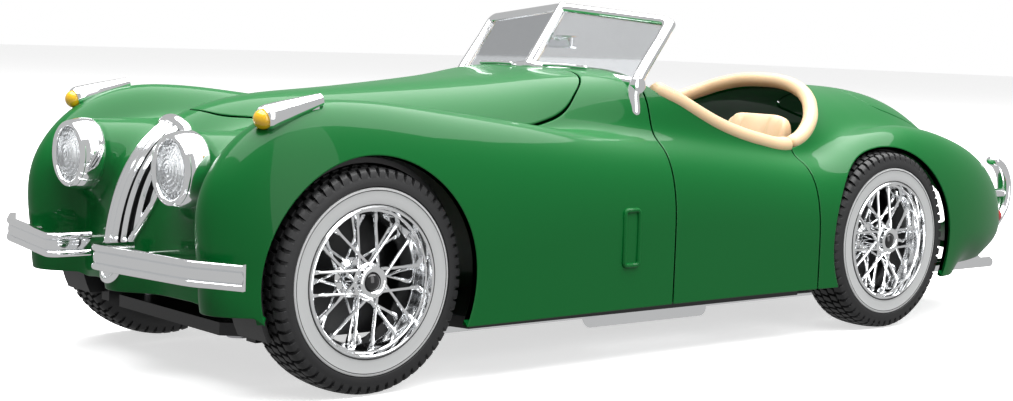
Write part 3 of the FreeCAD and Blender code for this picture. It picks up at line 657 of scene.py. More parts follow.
def soft_corners(points, radius, steps=6, closed=False):
    """A path whose corners are rounded: each becomes a parabola that leaves and meets its two runs."""
    points = np.array(points, float)
    before, after = np.roll(points, 1, 0), np.roll(points, -1, 0)
    into, away = before - points, after - points
    reach = np.minimum(radius, 0.48 * np.minimum(np.linalg.norm(into, axis=1), np.linalg.norm(away, axis=1)))
    start = points + into / np.linalg.norm(into, axis=1, keepdims=True) * reach[:, None]
    end = points + away / np.linalg.norm(away, axis=1, keepdims=True) * reach[:, None]
    t = np.linspace(0, 1, steps)[None, :, None]
    bends = start[:, None] * (1 - t) ** 2 + points[:, None] * 2 * t * (1 - t) + end[:, None] * t ** 2
    if closed:
        return bends.reshape(-1, points.shape[1])
    return np.concatenate([points[:1], bends[1:-1].reshape(-1, points.shape[1]), points[-1:]])


def smooth_path(points, steps=8):
    """An open smooth line through the points."""
    points = np.array(points, float)
    index = np.linspace(0, len(points) - 1, (len(points) - 1) * steps + 1)
    columns = [curve(list(enumerate(column)), index) for column in points.T]
    return np.stack(columns, -1)


def piece_of(name, solid, body, slot, finish, *nodes, sharp=35, edge=0.0):
    """A solid as a finished piece: sharp is the angle of a crease, edge the width of a rounded edge."""
    piece = mesh_object(name, solid[0], solid[1], sharp_angle=sharp)
    if edge:
        bevel = piece.modifiers.new("rounded edge", "BEVEL")
        bevel.width = edge * MM
        bevel.segments = 2
        bevel.limit_method = "ANGLE"
        bevel.angle_limit = math.radians(sharp)
        bevel.harden_normals = True
    return dress(piece, body, slot, finish, *nodes)


# %% [markdown]
# Finishes come next. Deep gloss paint is a green base under a clear coat; plating is a metal with
# hardly any roughness. A whisper of uneven surface, from noise on object coordinates, keeps each
# from looking computed.

# %% Finishes


def finish(name, colour, roughness, metallic=0.0, grain=0.0, grain_size=0.6, **sockets):
    """A surface with its constants on the shader's sockets and a fine noise relief of the grain's depth."""
    material = bpy.data.materials.new(name)
    material.use_nodes = True
    nodes, links = material.node_tree.nodes, material.node_tree.links
    shader = nodes["Principled BSDF"]
    shader.inputs["Base Color"].default_value = (*colour, 1.0)
    shader.inputs["Roughness"].default_value = roughness
    shader.inputs["Metallic"].default_value = metallic
    for socket, value in sockets.items():
        shader.inputs[socket.replace("_", " ")].default_value = value
    if grain:
        place = nodes.new("ShaderNodeTexCoord")
        noise = nodes.new("ShaderNodeTexNoise")
        noise.inputs["Scale"].default_value = 1 / (grain_size * MM)
        noise.inputs["Detail"].default_value = 3.0
        bump = nodes.new("ShaderNodeBump")
        bump.inputs["Strength"].default_value = 1.0
        bump.inputs["Distance"].default_value = grain * MM
        links.new(place.outputs["Object"], noise.inputs["Vector"])
        links.new(noise.outputs["Fac"], bump.inputs["Height"])
        links.new(bump.outputs["Normal"], shader.inputs["Normal"])
    return material


green = finish("racing green gloss", (0.0004, 0.13, 0.022), 0.4, grain=0.002, grain_size=3.0,
               Specular_IOR_Level=0.1, Coat_Weight=0.3, Coat_Roughness=0.03)
chrome = finish("bright plating", (0.93, 0.94, 0.95), 0.09, 1.0, grain=0.002, grain_size=1.5)
steel = finish("axle steel", (0.5, 0.5, 0.52), 0.32, 1.0, grain=0.006)
black = finish("black plastic", (0.012, 0.012, 0.013), 0.42, grain=0.01)
gloss_black = finish("black enamel", (0.006, 0.006, 0.007), 0.12, grain=0.002, Coat_Weight=0.6)
rubber = finish("tyre rubber", (0.014, 0.014, 0.015), 0.55, grain=0.02, grain_size=0.35)
white_rubber = finish("whitewall rubber", (0.62, 0.63, 0.63), 0.42, grain=0.008)
cream = finish("cream trim", (0.78, 0.56, 0.34), 0.38, grain=0.012, grain_size=0.5, Subsurface_Weight=0.12,
               Subsurface_Scale=0.001)
clear = finish("lamp glass", (0.9, 0.92, 0.93), 0.08, grain=0.004, Transmission_Weight=0.75, IOR=1.45)
window = finish("screen glass", (0.62, 0.64, 0.66), 0.02, grain=0.001, grain_size=4.0,
                Transmission_Weight=1.0, IOR=1.3)
amber = finish("amber lens", (0.95, 0.55, 0.005), 0.12, grain=0.003, Coat_Weight=0.8)
red = finish("red lens", (0.5, 0.006, 0.004), 0.12, grain=0.003, Coat_Weight=0.8)
cast = finish("cast engine metal", (0.4, 0.4, 0.42), 0.38, 0.9, grain=0.015)
dial = finish("instrument face", (0.75, 0.73, 0.68), 0.4, grain=0.003)
print("finishes:", len(bpy.data.materials))

# %% [markdown]
# With finishes ready, the painted panels can be made: the body with its openings, the bonnet, the
# two doors and the boot lid, which is only a line on this casting and so stays with the body.

# %% Painted panels


def panel(name, mesh, body, *nodes):
    """A painted panel from a trimmed skin."""
    return dress(mesh_object(name, *thicken(mesh)), body, "green_paint", green, *nodes)


panel("body_skin", body_skin, "main_body", "body_shell")
panel("boot_lid", boot_skin, "main_body")
panel("bonnet_skin", bonnet_skin, "bonnet_panel", "bonnet")
for side, sign in (("left", 1), ("right", -1)):
    panel("door_skin_" + side, half_of(door_skin, sign), side + "_door", "door_" + side)
print("painted panels done")

# %% [markdown]
# A wheel repeats four times, so it is built once about its own centre, with x along the axle and
# outboard positive, and then placed. The tread is a surface of two parameters, across and around:
# its rows and columns lie on the edges of the grooves, and the middle rows of blocks are shifted by
# half a pitch.

# %% One wheel
WHEEL_HALF = 3.7
RIM_R = 9.7
WALL_R = 12.2
TREAD_R = 14.85
AXLE_R = 1.0
OUTBOARD = (1, 0, 0)
WHEEL_ROUND = 96


def tyre():
    """Tread blocks: the depth along the profile's normal is the larger of the cross and the ring groove's."""
    half = WHEEL_HALF
    bead = ((-half + 0.5, RIM_R), (-half + 0.2, 10.8), (-half + 0.02, 11.9), (-half, 12.8),
            (-half + 0.15, 13.5))
    wall = smooth_path(bead, 4)
    across = np.array([-3.5, -3.4, -3.1, -2.7, -2.38, -2.32, -2.08, -2.02, -1.5, -0.98, -0.92, -0.68,
                       -0.62, -0.3])
    across = np.concatenate([across, -across[::-1]])
    drop = 0.12 * (np.abs(across) / 2.2) ** 2 + over(np.abs(across) - 3.0) ** 1.6 * 1.1
    crown = np.stack([across, TREAD_R - drop], -1)
    outer = wall[::-1] * [-1, 1]
    inside_rim = np.array([(half - 0.35, WALL_R), (half - 1.2, WALL_R), (half - 1.2, RIM_R)])
    profile = np.concatenate([wall, crown, outer[outer[:, 1] > WALL_R + 0.05], inside_rim])
    way = np.gradient(profile, axis=0)
    normal = np.stack([-way[:, 1], way[:, 0]], -1)
    normal /= np.linalg.norm(normal, axis=1, keepdims=True)
    pitches = 60
    phase = np.array([0.0, 0.05, 0.31, 0.36, 0.6, 0.8])
    cross_depth = np.array([0.0, 1.0, 1.0, 0.0, 0.0, 0.0])
    a = profile[:, 0]
    size = np.abs(a)
    shear = np.interp(size, [0.62, 0.98, 2.02, 2.38], [0, 0.5, 0.5, 0]) + 0.18 * a
    turn = 2 * math.pi / pitches * (np.arange(pitches)[:, None] + phase).reshape(-1)
    lateral = np.tile(cross_depth, pitches)
    on_tread = profile[:, 1] > 13.9
    block_depth = np.where(on_tread, 0.5, 0)
    grooves = [0.62, 0.68, 0.92, 0.98, 2.02, 2.08, 2.32, 2.38]
    ring_depth = np.where(on_tread, np.interp(size, grooves, [0, 0.5, 0.5, 0, 0, 0.5, 0.5, 0]), 0)
    depth = np.maximum(block_depth[:, None] * lateral[None, :], ring_depth[:, None])
    along = a[:, None] - normal[:, 0, None] * depth
    radius = profile[:, 1, None] - normal[:, 1, None] * depth
    angle = turn[None, :] + 2 * math.pi / pitches * shear[:, None]
    points = np.stack([along, radius * np.cos(angle), radius * np.sin(angle)], -1)
    return weld(points.reshape(-1, 3), grid_quads(len(profile), len(turn), close_rows=True))


def whitewall():
    """A gently domed ring with a soft step at its inner edge and a raised lip at its outer one."""
    half = WHEEL_HALF
    profile = ((half - 1.2, RIM_R), (half - 0.32, RIM_R), (half - 0.2, 9.85), (half - 0.12, 10.3),
               (half - 0.08, 11.0), (half - 0.08, 11.7), (half - 0.02, 12.0),
               (half - 0.1, WALL_R), (half - 1.2, WALL_R))
    return turned(profile, (0, 0, 0), OUTBOARD, WHEEL_ROUND, closed=True)


def groove_shade_rings():
    """Two thin black rings that edge the white band: painted shade that stands in for the grooves there."""
    half = WHEEL_HALF
    rings = []
    for radius, face in ((9.93, half - 0.13), (11.8, half - 0.04)):
        profile = ((half - 0.6, radius), (face, radius), (face, radius + 0.13), (half - 0.6, radius + 0.13))
        rings.append(turned(profile, (0, 0, 0), OUTBOARD, WHEEL_ROUND, closed=True))
    return together(rings)


def rim():
    """A rolled flange, a step, the well of the rim and the inner flange, as one closed band."""
    half = WHEEL_HALF
    profile = ((-half + 0.5, RIM_R), (-half + 0.42, 9.5), (-half + 0.6, 9.1), (-2.6, 8.9), (-1.6, 8.45),
               (0.6, 8.45), (1.2, 8.5), (1.7, 8.85), (2.5, 8.95), (2.75, 9.05), (2.85, 9.25), (3.2, 9.3),
               (3.45, 9.35), (3.75, 9.42), (3.85, 9.55), (3.82, 9.72), (3.62, 9.86), (3.3, RIM_R), (1.6, RIM_R))
    return turned(profile, (0, 0, 0), OUTBOARD, WHEEL_ROUND, closed=True)


SPOKE_PAIRS = 8
SPOKE_LAYERS = ((2.45, 2.1, 1.5, 8.75, 0.62), (-1.5, 2.4, -0.4, 8.55, 0.5))


def spokes():
    """Crossed wires between hub and rim; each swells into a rounded nipple where it meets the rim."""
    wires = []
    for layer, (hub_x, hub_r, rim_x, rim_r, lean) in enumerate(SPOKE_LAYERS):
        for i in range(SPOKE_PAIRS * 2):
            hub_turn = 2 * math.pi * (i // 2 + 0.5 * layer) / SPOKE_PAIRS
            rim_turn = hub_turn + (lean if i % 2 else -lean)
            start = np.array([hub_x, hub_r * math.cos(hub_turn), hub_r * math.sin(hub_turn)])
            end = np.array([rim_x, rim_r * math.cos(rim_turn), rim_r * math.sin(rim_turn)])
            share = np.array([0, 0.3, 0.6, 0.8, 0.84, 0.88, 0.93, 0.98, 1.0])
            size = np.array([0.24, 0.23, 0.23, 0.23, 0.26, 0.32, 0.35, 0.34, 0.32])
            path = start + (end - start) * share[:, None]
            wires.append(swept(path, size, up=OUTBOARD, sides=8, domed=False))
    return together(wires)


def hub():
    """A flange with a beaded ring, and an open-mouthed cap with a rolled lip."""
    half = WHEEL_HALF
    barrel = ((-1.9, AXLE_R), (-1.9, 2.5), (-1.8, 2.65), (-1.3, 2.65), (-1.1, 2.4), (-0.9, 1.8), (1.9, 1.75),
              (2.05, 2.3), (2.2, 2.45), (2.6, 2.45), (2.75, 2.3), (2.85, 2.1), (2.95, 2.05),
              (half - 0.1, 2.1), (half + 0.04, 2.0), (half + 0.1, 1.8), (half + 0.02, 1.5),
              (half - 0.2, 1.25), (2.6, 1.25), (2.6, AXLE_R))
    solids = [turned(barrel, (0, 0, 0), OUTBOARD, 48, closed=True)]
    for turn in np.arange(SPOKE_PAIRS * 2) * math.pi / SPOKE_PAIRS:
        bead = ((-0.24, 0), (-0.18, 0.17), (0, 0.24), (0.18, 0.17), (0.24, 0))
        solids.append(turned(bead, (2.62, 2.1 * math.cos(turn), 2.1 * math.sin(turn)), OUTBOARD, 8))
    return together(solids)


def cap_dome():
    """The black glossy button in the mouth of the cap: a quarter of an ellipse turned round."""
    lean = np.radians(np.linspace(0, 90, 9))
    profile = [(2.5, 0), (2.5, 1.24)] + [(3.2 + 0.75 * math.sin(a), 1.24 * math.cos(a)) for a in lean]
    return turned(profile, (0, 0, 0), OUTBOARD, 40)


wheel_parts = (("tyre", tyre(), "tyre_rubber", rubber),
               ("whitewall", whitewall(), "white_rubber", white_rubber),
               ("wheel_rim", rim(), "chrome", chrome), ("wheel_spokes", spokes(), "chrome", chrome),
               ("wheel_hub", hub(), "chrome", chrome))
dome = cap_dome()
groove_shade = groove_shade_rings()
for end in ("front", "rear"):
    for side, sign in (("left", 1), ("right", -1)):
        place = middle("whitewall_%s_%s" % (end, side)) - [sign * (WHEEL_HALF - 0.6), 0, 0]
        for part, solid, slot, look in wheel_parts:
            node = "%s_%s_%s" % (part, end, side)
            piece_of(node + "_look", moved(solid, (sign, 1, 1), place), end + "_wheelset", slot, look, node)
        piece_of("cap_dome_%s_%s" % (end, side), moved(dome, (sign, 1, 1), place), end + "_wheelset",
                 "black_plastic", gloss_black)
        # The black rings are painted shade for the grooves at the edges of the whitewall.
        piece_of("wall_lines_%s_%s" % (end, side), moved(groove_shade, (sign, 1, 1), place), end + "_wheelset",
                 "tyre_rubber", rubber)
print("wheel triangles:", sum(2 * len(part[1][1][0]) for part in wheel_parts))

# %% [markdown]
# The nose carries most of the plating. The grille is an egg-shaped frame round a row of upright
# bars; both follow the nose, so each point asks the body where its skin is. A dark panel set back
# behind the bars gives them depth.

# %% Grille
BARS = 9
frame_line = np.stack([EGG[::3, 0], nose_s(EGG[::3, 0], EGG[::3, 1]) - 0.05, EGG[::3, 1]], -1)
frame_width = 0.5 + 0.35 * np.clip((frame_line[:, 2] - 24) / 9, 0, 1)
grille_parts = [swept(frame_line, frame_width, up=(0, -1, 0), closed=True)]
for x in np.linspace(-4.4, 4.4, BARS):
    heights = np.linspace(13, 34.6, 90)
    heights = heights[inside_outline(EGG, np.full(90, x), heights) > 0.1]
    bar = np.stack([0 * heights + x, nose_s(0 * heights + x, heights) + 0.25, heights], -1)
    grille_parts.append(swept(bar[::3], 0.5, up=(0, -1, 0), sides=8))
piece_of("grille_bars", together(grille_parts), "main_body", "chrome", chrome, "grille")
points, normals, faces = trim(shell, grille_cut(shell[0]) + 0.3)
dress(mesh_object("grille_backing", *thicken((points - normals * 1.1, normals, faces), 0.4)), "main_body",
      "black_plastic", black)
print("grille parts", len(grille_parts))

# %% [markdown]
# A headlamp is a deep plated bowl with a stepped rim. Its glass is pressed in rings and upright
# flutes that spread the light, so the lens is a dome whose height ripples with both.

# %% Headlamps
LAMP_FRONT = -21.4


def lamp_lens():
    """A dome, lower by rings that depend on the radius and flutes that depend on the angle."""
    radius = np.linspace(0, 3.75, 40)
    turn = np.linspace(0, 2 * math.pi, 96, endpoint=False)
    r, a = np.meshgrid(radius, turn, indexing="ij")
    dome_height = 0.9 * (1 - (r / 3.75) ** 2)
    rings = 0.07 * np.cos(r * 2 * math.pi / 0.62)
    flutes = 0.05 * np.cos(24 * a) * np.clip((r - 0.9) / 1.2, 0, 1)
    front = np.stack([r * np.cos(a), -dome_height + rings + flutes, r * np.sin(a)], -1)
    front[0] = [0, -0.9 + 0.07, 0]
    back = np.stack([3.75 * np.cos(turn), 0 * turn + 1.4, 3.75 * np.sin(turn)], -1)
    points = np.concatenate([front, back[None], 0 * back[None] + [0, 1.4, 0]])
    return weld(points.reshape(-1, 3), grid_quads(len(points), len(turn)))


bezel_profile = ((1.2, 3.7), (0.6, 3.72), (0.3, 3.8), (0.08, 3.98), (0.0, 4.2), (0.06, 4.42), (0.25, 4.6),
                 (0.6, 4.72), (0.72, 4.68), (0.85, 4.75), (1.5, 4.95), (2.3, 5.05), (3.2, 5.08), (3.6, 4.9),
                 (4.2, 4.5), (6.9, 4.4), (6.9, 3.0), (2.4, 3.0), (2.4, 3.7))
for side, sign in (("left", 1), ("right", -1)):
    place = (sign * LAMP_X, LAMP_FRONT, LAMP_Z)
    piece_of("headlamp_bezel_" + side, turned(bezel_profile, place, (0, 1, 0), 96, closed=True), "main_body",
             "chrome", chrome, "headlamp_pod_" + side)
    piece_of("headlamp_glass_" + side, moved(lamp_lens(), shift=np.array(place) + [0, 0.75, 0]), "main_body",
             "clear_lens", clear, "headlamp_lens_" + side, sharp=60)
    reflector = ((2.3, 0.0), (2.3, 3.6), (2.1, 3.68), (2.0, 3.4), (2.15, 1.5), (2.2, 0.0))
    piece_of("headlamp_bowl_" + side, turned(reflector, place, (0, 1, 0), 48), "main_body", "chrome", chrome)

# %% [markdown]
# Each front wing carries a torpedo sidelight: a tapering plated body with an amber dome at its nose
# and a thin foot that follows the wing's crest.

# %% Sidelights
SIDELIGHT_NOSE = np.array([25.4, -14.6, 35.6])
SIDELIGHT_TAIL = np.array([25.2, -6.0, 38.0])


def torpedo():
    """A round body whose radius swells behind the lens and then tapers to a flat tail."""
    share = np.linspace(0, 1, 24)
    path = SIDELIGHT_NOSE + (SIDELIGHT_TAIL - SIDELIGHT_NOSE) * share[:, None]
    size = np.interp(share, [0, 0.05, 0.12, 0.4, 1.0], [1.5, 1.68, 1.66, 1.45, 0.85])
    return swept(path, size, up=(0, 0, 1), sides=28, domed=False)


def torpedo_foot():
    """A flat plated strip that lies on the wing under the torpedo."""
    stations = np.linspace(-13.6, -6.6, 20)
    foot = np.stack([0 * stations + 25.3, stations, skin_z(0 * stations + 25.3, stations)], -1)
    lift = np.stack([0 * stations + 25.3, stations, np.interp(stations, [-14.6, -6.0], [35.0, 37.6])], -1)
    wall = np.stack([foot - [0, 0, 0.4], lift], 1)
    across = np.array([-0.65, 0.65])
    points = wall[:, [0, 1, 1, 0]] + np.stack([across[[0, 0, 1, 1]], np.zeros(4), np.zeros(4)], -1)
    faces = grid_quads(len(points), 4)
    ends = np.array([[0, 1, 2, 3], [len(points) * 4 - 4 + k for k in (3, 2, 1, 0)]])
    return outward(points.reshape(-1, 3), [faces, ends])


def amber_dome():
    """Half a sphere in front of the torpedo, with a flat back."""
    lean = np.radians(np.linspace(0, 90, 10))
    profile = [(0.9, 0.0), (0.9, 1.2)] + [(-1.3 * math.sin(a), 1.3 * math.cos(a)) for a in lean]
    return turned(profile, SIDELIGHT_NOSE, SIDELIGHT_TAIL - SIDELIGHT_NOSE, 32)


for side, sign in (("left", 1), ("right", -1)):
    plated = moved(together([torpedo(), torpedo_foot()]), (sign, 1, 1))
    piece_of("torpedo_" + side, plated, "main_body", "chrome", chrome, "sidelight_" + side)
    piece_of("amber_dome_" + side, moved(amber_dome(), (sign, 1, 1)), "main_body", "amber_lens", amber,
             "sidelight_lens_" + side)

# %% [markdown]
# The front bumper comes in two halves. Each blade has a rounded rib along its top and its bottom and a
# wide flatter band between, and turns back at both ends, so one section is carried along a bent path.

# %% Front bumpers
BUMPER_Z = middle("front_bumper_left")[2]
blade_line = soft_corners(((6.0, -21.7), (6.0, -27.6), (25.1, -24.4), (31.8, -20.9)), 1.6, 7)
rib = np.radians(np.linspace(-80, 80, 7))
BLADE_SECTION = ([(0.2 + 0.42 * math.cos(a), 1.2 + 0.44 * math.sin(a)) for a in rib[::-1]]
                 + [(0.16, 0.7), (0.34, 0.6), (0.42, 0.0), (0.34, -0.6), (0.16, -0.7)]
                 + [(0.2 + 0.42 * math.cos(a), -1.2 + 0.44 * math.sin(a)) for a in rib[::-1]]
                 + [(-0.45, -1.62), (-0.45, 1.62)])
for side, sign in (("left", 1), ("right", -1)):
    path = np.stack([blade_line[:, 0], blade_line[:, 1], np.full(len(blade_line), BUMPER_Z)], -1)
    solids = [swept(path, 1.0, BLADE_SECTION, domed=False)]
    for x, s in ((10, -25.6), (22, -23.8)):
        solids.append(swept([(x, s, BUMPER_Z), (x, -20, BUMPER_Z), (x, -16.5, BUMPER_Z)], 0.8, domed=False))
    piece_of("bumper_blade_" + side, moved(together(solids), (sign, 1, 1)), "main_body", "chrome", chrome,
             "front_bumper_" + side)

# %% [markdown]
# The windscreen is split: two flat panes in a thin plated frame that meets at a centre post and
# stands on two brackets. The frame of each pane is a closed tube with rounded outer corners.

# %% Windscreen
TOP_MIDDLE, LOW_MIDDLE = np.array([0, 57.8, 51.7]), np.array([0, 51.2, 42.4])
TOP_CORNER, LOW_CORNER = np.array([20.9, 61.0, 49.8]), np.array([20.9, 54.3, 40.5])
BRACKET_FOOT = np.array([21.6, 53.2, 36.2])
pane_normal = np.cross(TOP_CORNER - TOP_MIDDLE, LOW_CORNER - TOP_MIDDLE)
pane_normal /= np.linalg.norm(pane_normal)
frame_parts = []
for side, sign in (("left", 1), ("right", -1)):
    flip = np.array([sign, 1, 1])
    corners = [TOP_MIDDLE * flip, TOP_CORNER * flip, LOW_CORNER * flip, LOW_MIDDLE]
    loop = soft_corners(corners, 1.3, 7, closed=True)
    frame_parts.append(swept(loop, 0.8, up=pane_normal * flip, closed=True))
    post = smooth_path([TOP_CORNER * flip - [0, 0, 0.4], LOW_CORNER * flip, BRACKET_FOOT * flip], 5)
    frame_parts.append(swept(post, np.linspace(0.85, 1.15, len(post)), up=(1, 0, 0)))
    frame_parts.append(turned(((-0.5, 0), (-0.5, 1.15), (0.5, 1.15), (0.65, 0.9), (0.65, 0)),
                              (LOW_CORNER + [0.6, -0.2, -0.4]) * flip, (sign, 0, 0), 24))
    pane = np.array([corner * 0.985 + (sum(corners) / 4) * 0.015 for corner in corners])
    thick = np.concatenate([pane - pane_normal * flip * 0.18, pane + pane_normal * flip * 0.18])
    sheet_faces = [[0, 1, 5, 4], [1, 2, 6, 5], [2, 3, 7, 6], [3, 0, 4, 7], [0, 3, 2, 1], [4, 5, 6, 7]]
    sheet = outward(thick, [np.array(sheet_faces)])
    piece_of("pane_" + side, sheet, "main_body", "window", window, "windscreen_glass_" + side)
frame_parts.append(swept([LOW_MIDDLE, (TOP_MIDDLE + LOW_MIDDLE) / 2, TOP_MIDDLE], 0.95, up=(1, 0, 0)))
piece_of("screen_frame", together(frame_parts), "main_body", "chrome", chrome, "windscreen_frame")
mirror_parts = [block((-2.9, 57.3, 45.2), (2.9, 58.2, 47.2)),
                swept([(0, 54.6, 47.2), (0, 56, 46.9), (0, 57.5, 46.6)], 0.35)]
piece_of("rear_view_mirror", together(mirror_parts), "main_body", "chrome", chrome, "mirror", edge=0.35)

# %% [markdown]
# The cockpit is edged with a fat padded roll that follows the cut of the body: along each door's
# top, and round the back as one piece. The path is the cut line itself, moved a little inwards.

# %% Padded rolls
ROLL_R = 1.25


def side_edge(first, last, steps):
    """Points on the left edge of the cockpit's cut."""
    s = np.linspace(first, last, steps)
    z = curve(SCOOP_Z, s)
    return np.stack([skin_x(s, z), s, z], -1)


def rear_edge(x):
    """Points on the rear edge of the cockpit's cut, where the scoop leaves the body."""
    s = settle(np.full(len(x), 92.0), np.full(len(x), 115.9),
               lambda at: body_depth(x, at, curve(SCOOP_Z, at)))
    return np.stack([x, s, curve(SCOOP_Z, s)], -1)


def padded_roll(edge, radius, inward):
    """A round roll beside the edge: the path is moved square to its own run in plan."""
    way = np.gradient(edge, axis=0)
    side = np.stack([-way[:, 1], way[:, 0], 0 * way[:, 0]], -1)
    side /= np.linalg.norm(side, axis=1, keepdims=True)
    return swept(edge + side * inward + [0, 0, 0.4], radius, sides=24)


left_edge = side_edge(HINGE_S + DOOR_R + 1.6, 103, 12)
across = left_edge[-1, 0] * np.linspace(0.95, 0, 12)
rear = rear_edge(across)
half_edge = smooth_path(np.concatenate([left_edge, rear])[::2], 5)
half_edge[-1, 0] = 0
rim_edge = np.concatenate([half_edge, half_edge[-2::-1] * [-1, 1, 1]])
piece_of("cockpit_roll", padded_roll(rim_edge, ROLL_R, 1.2), "main_body", "cream_trim", cream, "cockpit_rim")
for side, sign in (("left", 1), ("right", -1)):
    roll = padded_roll(side_edge(HINGE_S + 3.2, HINGE_S + DOOR_R - 1.0, 24), 1.45, 1.2)
    piece_of("door_roll_look_" + side, moved(roll, (sign, 1, 1)), side + "_door", "cream_trim", cream,
             "door_roll_" + side)
print("rolls done")

# %% [markdown]
# The seats are buckets with sewn upright channels. A cushion is a rounded slab: a box whose corners
# are softened by a power of the sine and cosine, and whose face dips along each seam.

# %% Seats


def cushion(centre, half, way_up, forward, channels, crown=0.5):
    """A rounded slab: powers of cosine and sine give the form, and seams dip its front face."""
    lean = np.linspace(-math.pi / 2, math.pi / 2, 33)[:, None]
    turn = np.linspace(0, 2 * math.pi, 128, endpoint=False)[None, :]

    def soft(value, power=0.34):
        return np.sign(value) * np.abs(value) ** power

    x = soft(np.cos(lean)) * soft(np.cos(turn))
    y = soft(np.cos(lean)) * soft(np.sin(turn))
    z = soft(np.sin(lean), 0.5) * np.ones_like(turn)
    seam = np.exp(-((x * channels / 2 - np.round(x * channels / 2)) / 0.16) ** 2) * (np.abs(x) < 0.93)
    face = (z > 0) * (1 + crown * (1 - x ** 2) * (1 - y ** 2)) - 0.5 * seam * (z > 0.3) / half[2]
    z = np.where(z > 0, z * face, z)
    across = np.cross(way_up, forward)
    place = (x[..., None] * half[0] * across + y[..., None] * half[1] * np.array(way_up)
             + z[..., None] * half[2] * np.array(forward)) + np.array(centre)
    return weld(place.reshape(-1, 3), grid_quads(33, 128))


back_way = np.array([0.0, 5.5, 23.0]) / math.hypot(5.5, 23.0)
back_face = np.array([0.0, -back_way[2], back_way[1]])
for side, sign in (("left", 1), ("right", -1)):
    base = cushion((9.8, 82.5, 12.9), (6.9, 8.4, 3.4), (0, -1, 0), (0, 0, 1), 5)
    backrest = cushion((9.8, 92.9, 24.2), (6.9, 11.2, 1.7), tuple(back_way), tuple(back_face), 5)
    whole = moved(together([base, backrest]), (sign, 1, 1))
    piece_of("seat_look_" + side, whole, "main_body", "cream_trim", cream, "seat_" + side, sharp=80)
print("seats done")

# %% [markdown]
# In front of the driver are the instrument board, the steering wheel and a short gear lever. The
# board keeps its fitted shape and gains round dials; the wheel is a thin ring on four arms.

# %% Driving place
WHEEL_CENTRE = np.array([10.2, 68.0, 32.4])
WHEEL_AXIS = np.array([0, 1, 0.42]) / math.hypot(1, 0.42)


def ring_path(centre, axis, radius, steps):
    """A circle about an axis."""
    turn = np.linspace(0, 2 * math.pi, steps, endpoint=False)
    side = np.array([1.0, 0.0, 0.0])
    up = np.cross(axis, side)
    return centre + radius * (np.cos(turn)[:, None] * side + np.sin(turn)[:, None] * up)


steering = [swept(ring_path(WHEEL_CENTRE, WHEEL_AXIS, 5.6, 64), 0.5, up=WHEEL_AXIS, closed=True)]
for end_point in ring_path(WHEEL_CENTRE, WHEEL_AXIS, 5.5, 4):
    steering.append(swept(np.linspace(WHEEL_CENTRE, end_point, 4), 0.3, up=WHEEL_AXIS, sides=8))
boss = ((-0.45, 0), (-0.45, 1.2), (0.3, 1.2), (0.5, 0.8), (0.55, 0))
steering.append(turned(boss, WHEEL_CENTRE, WHEEL_AXIS, 32))
piece_of("steering_wheel_look", together(steering), "main_body", "black_plastic", gloss_black,
         "steering_wheel")
piece_of("gear_lever", swept([(0, 70, 14), (0, 70.5, 17), (0, 71.5, 20)], 0.3), "main_body", "chrome", chrome)
piece_of("gear_knob", turned([(-0.9 * math.cos(a), 0.9 * math.sin(a)) for a in np.linspace(0, math.pi, 13)],
                             (0, 71.6, 20.4), (0, 0, 1), 24), "main_body", "black_plastic", gloss_black)
dials = []
for x, z, radius in ((10.2, 34.0, 1.9), (5.4, 34.0, 1.9), (0.6, 33.4, 1.2), (-2.6, 33.4, 1.2),
                     (-5.8, 33.4, 1.2)):
    face = ((-0.5, 0), (-0.5, radius), (0.2, radius), (0.2, 0))
    dials.append(turned(face, (x, 57.9, z), (0, 1, -0.22), 32))
piece_of("dials", together(dials), "main_body", "white_rubber", dial)

# %% [markdown]
# Small fittings finish the body: the outlets in the wings, wiper arms, the overriders and tail lamps.
# The plated tail pipes keep their CAD shape and get their plating with the remaining CAD pieces.

# %% Fittings
for side, sign in (("left", 1), ("right", -1)):
    corners = np.array([(44.4, 14.4), (44.4, 22.4), (47.4, 22.4), (47.4, 14.4)])
    loop = soft_corners(corners, 0.6, 4, closed=True)
    loop = np.stack([skin_x(loop[:, 0], loop[:, 1]), loop[:, 0], loop[:, 1]], -1)
    vent_frame = swept(loop, 0.38, up=(1, 0, 0), closed=True, sides=10)
    nodes = ("side_vents",) if sign > 0 else ()
    vent_frame = moved(vent_frame, (sign, 1, 1))
    piece_of("vent_outline_" + side, vent_frame, "main_body", "green_paint", green, *nodes)
    arm = np.array([(sign * 4.0, 50.7), (sign * 8.0, 51.2), (sign * 12.5, 51.6)])
    arm = np.stack([arm[:, 0], arm[:, 1], skin_z(arm[:, 0], arm[:, 1]) + 0.35], -1)
    piece_of("wiper_" + side, swept(smooth_path(arm, 5), 0.28, sides=8), "main_body", "chrome", chrome)
overrider_line = smooth_path(((152.0, 26.6), (154.0, 25.6), (155.6, 23.5), (156.1, 21.0), (155.6, 18.2),
                              (154.2, 16.2), (153.0, 15.0)), 6)
blades = []
for sign in (1, -1):
    path = np.insert(overrider_line, 0, sign * 18.0, axis=1)
    turn = np.linspace(0, 2 * math.pi, 20, endpoint=False)
    blades.append(swept(path, 1.0, np.stack([0.9 * np.cos(turn), 1.45 * np.sin(turn)], -1), up=(1, 0, 0)))
    blades.append(swept([(sign * 18, 143, 20.5), (sign * 18, 150, 20.5), (sign * 18, 155.6, 20.5)], 0.9))
lamp_low, lamp_high = (np.array(corner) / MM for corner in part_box("tail_lamps"))
lamps = []
for sign in (1, -1):
    lamp_place = (sign * (lamp_high[0] - 1.5), lamp_low[1] - station_zero, (lamp_low[2] + lamp_high[2]) / 2)
    profile = [(0.0, 0.0), (0.0, 1.4), (1.6, 1.4)] + [(1.6 + 1.0 * math.sin(a), 1.4 * math.cos(a))
                                                      for a in np.radians(np.linspace(15, 90, 6))]
    lamps.append(turned(profile, lamp_place, (0, 1, 0), 32))
piece_of("tail_lamp_domes", together(lamps), "main_body", "red_lens", red, "tail_lamps")
piece_of("overrider_blades", together(blades), "main_body", "chrome", chrome, "rear_overriders")

# %% [markdown]
# What is left of the CAD model needs no new shape, only its finish.

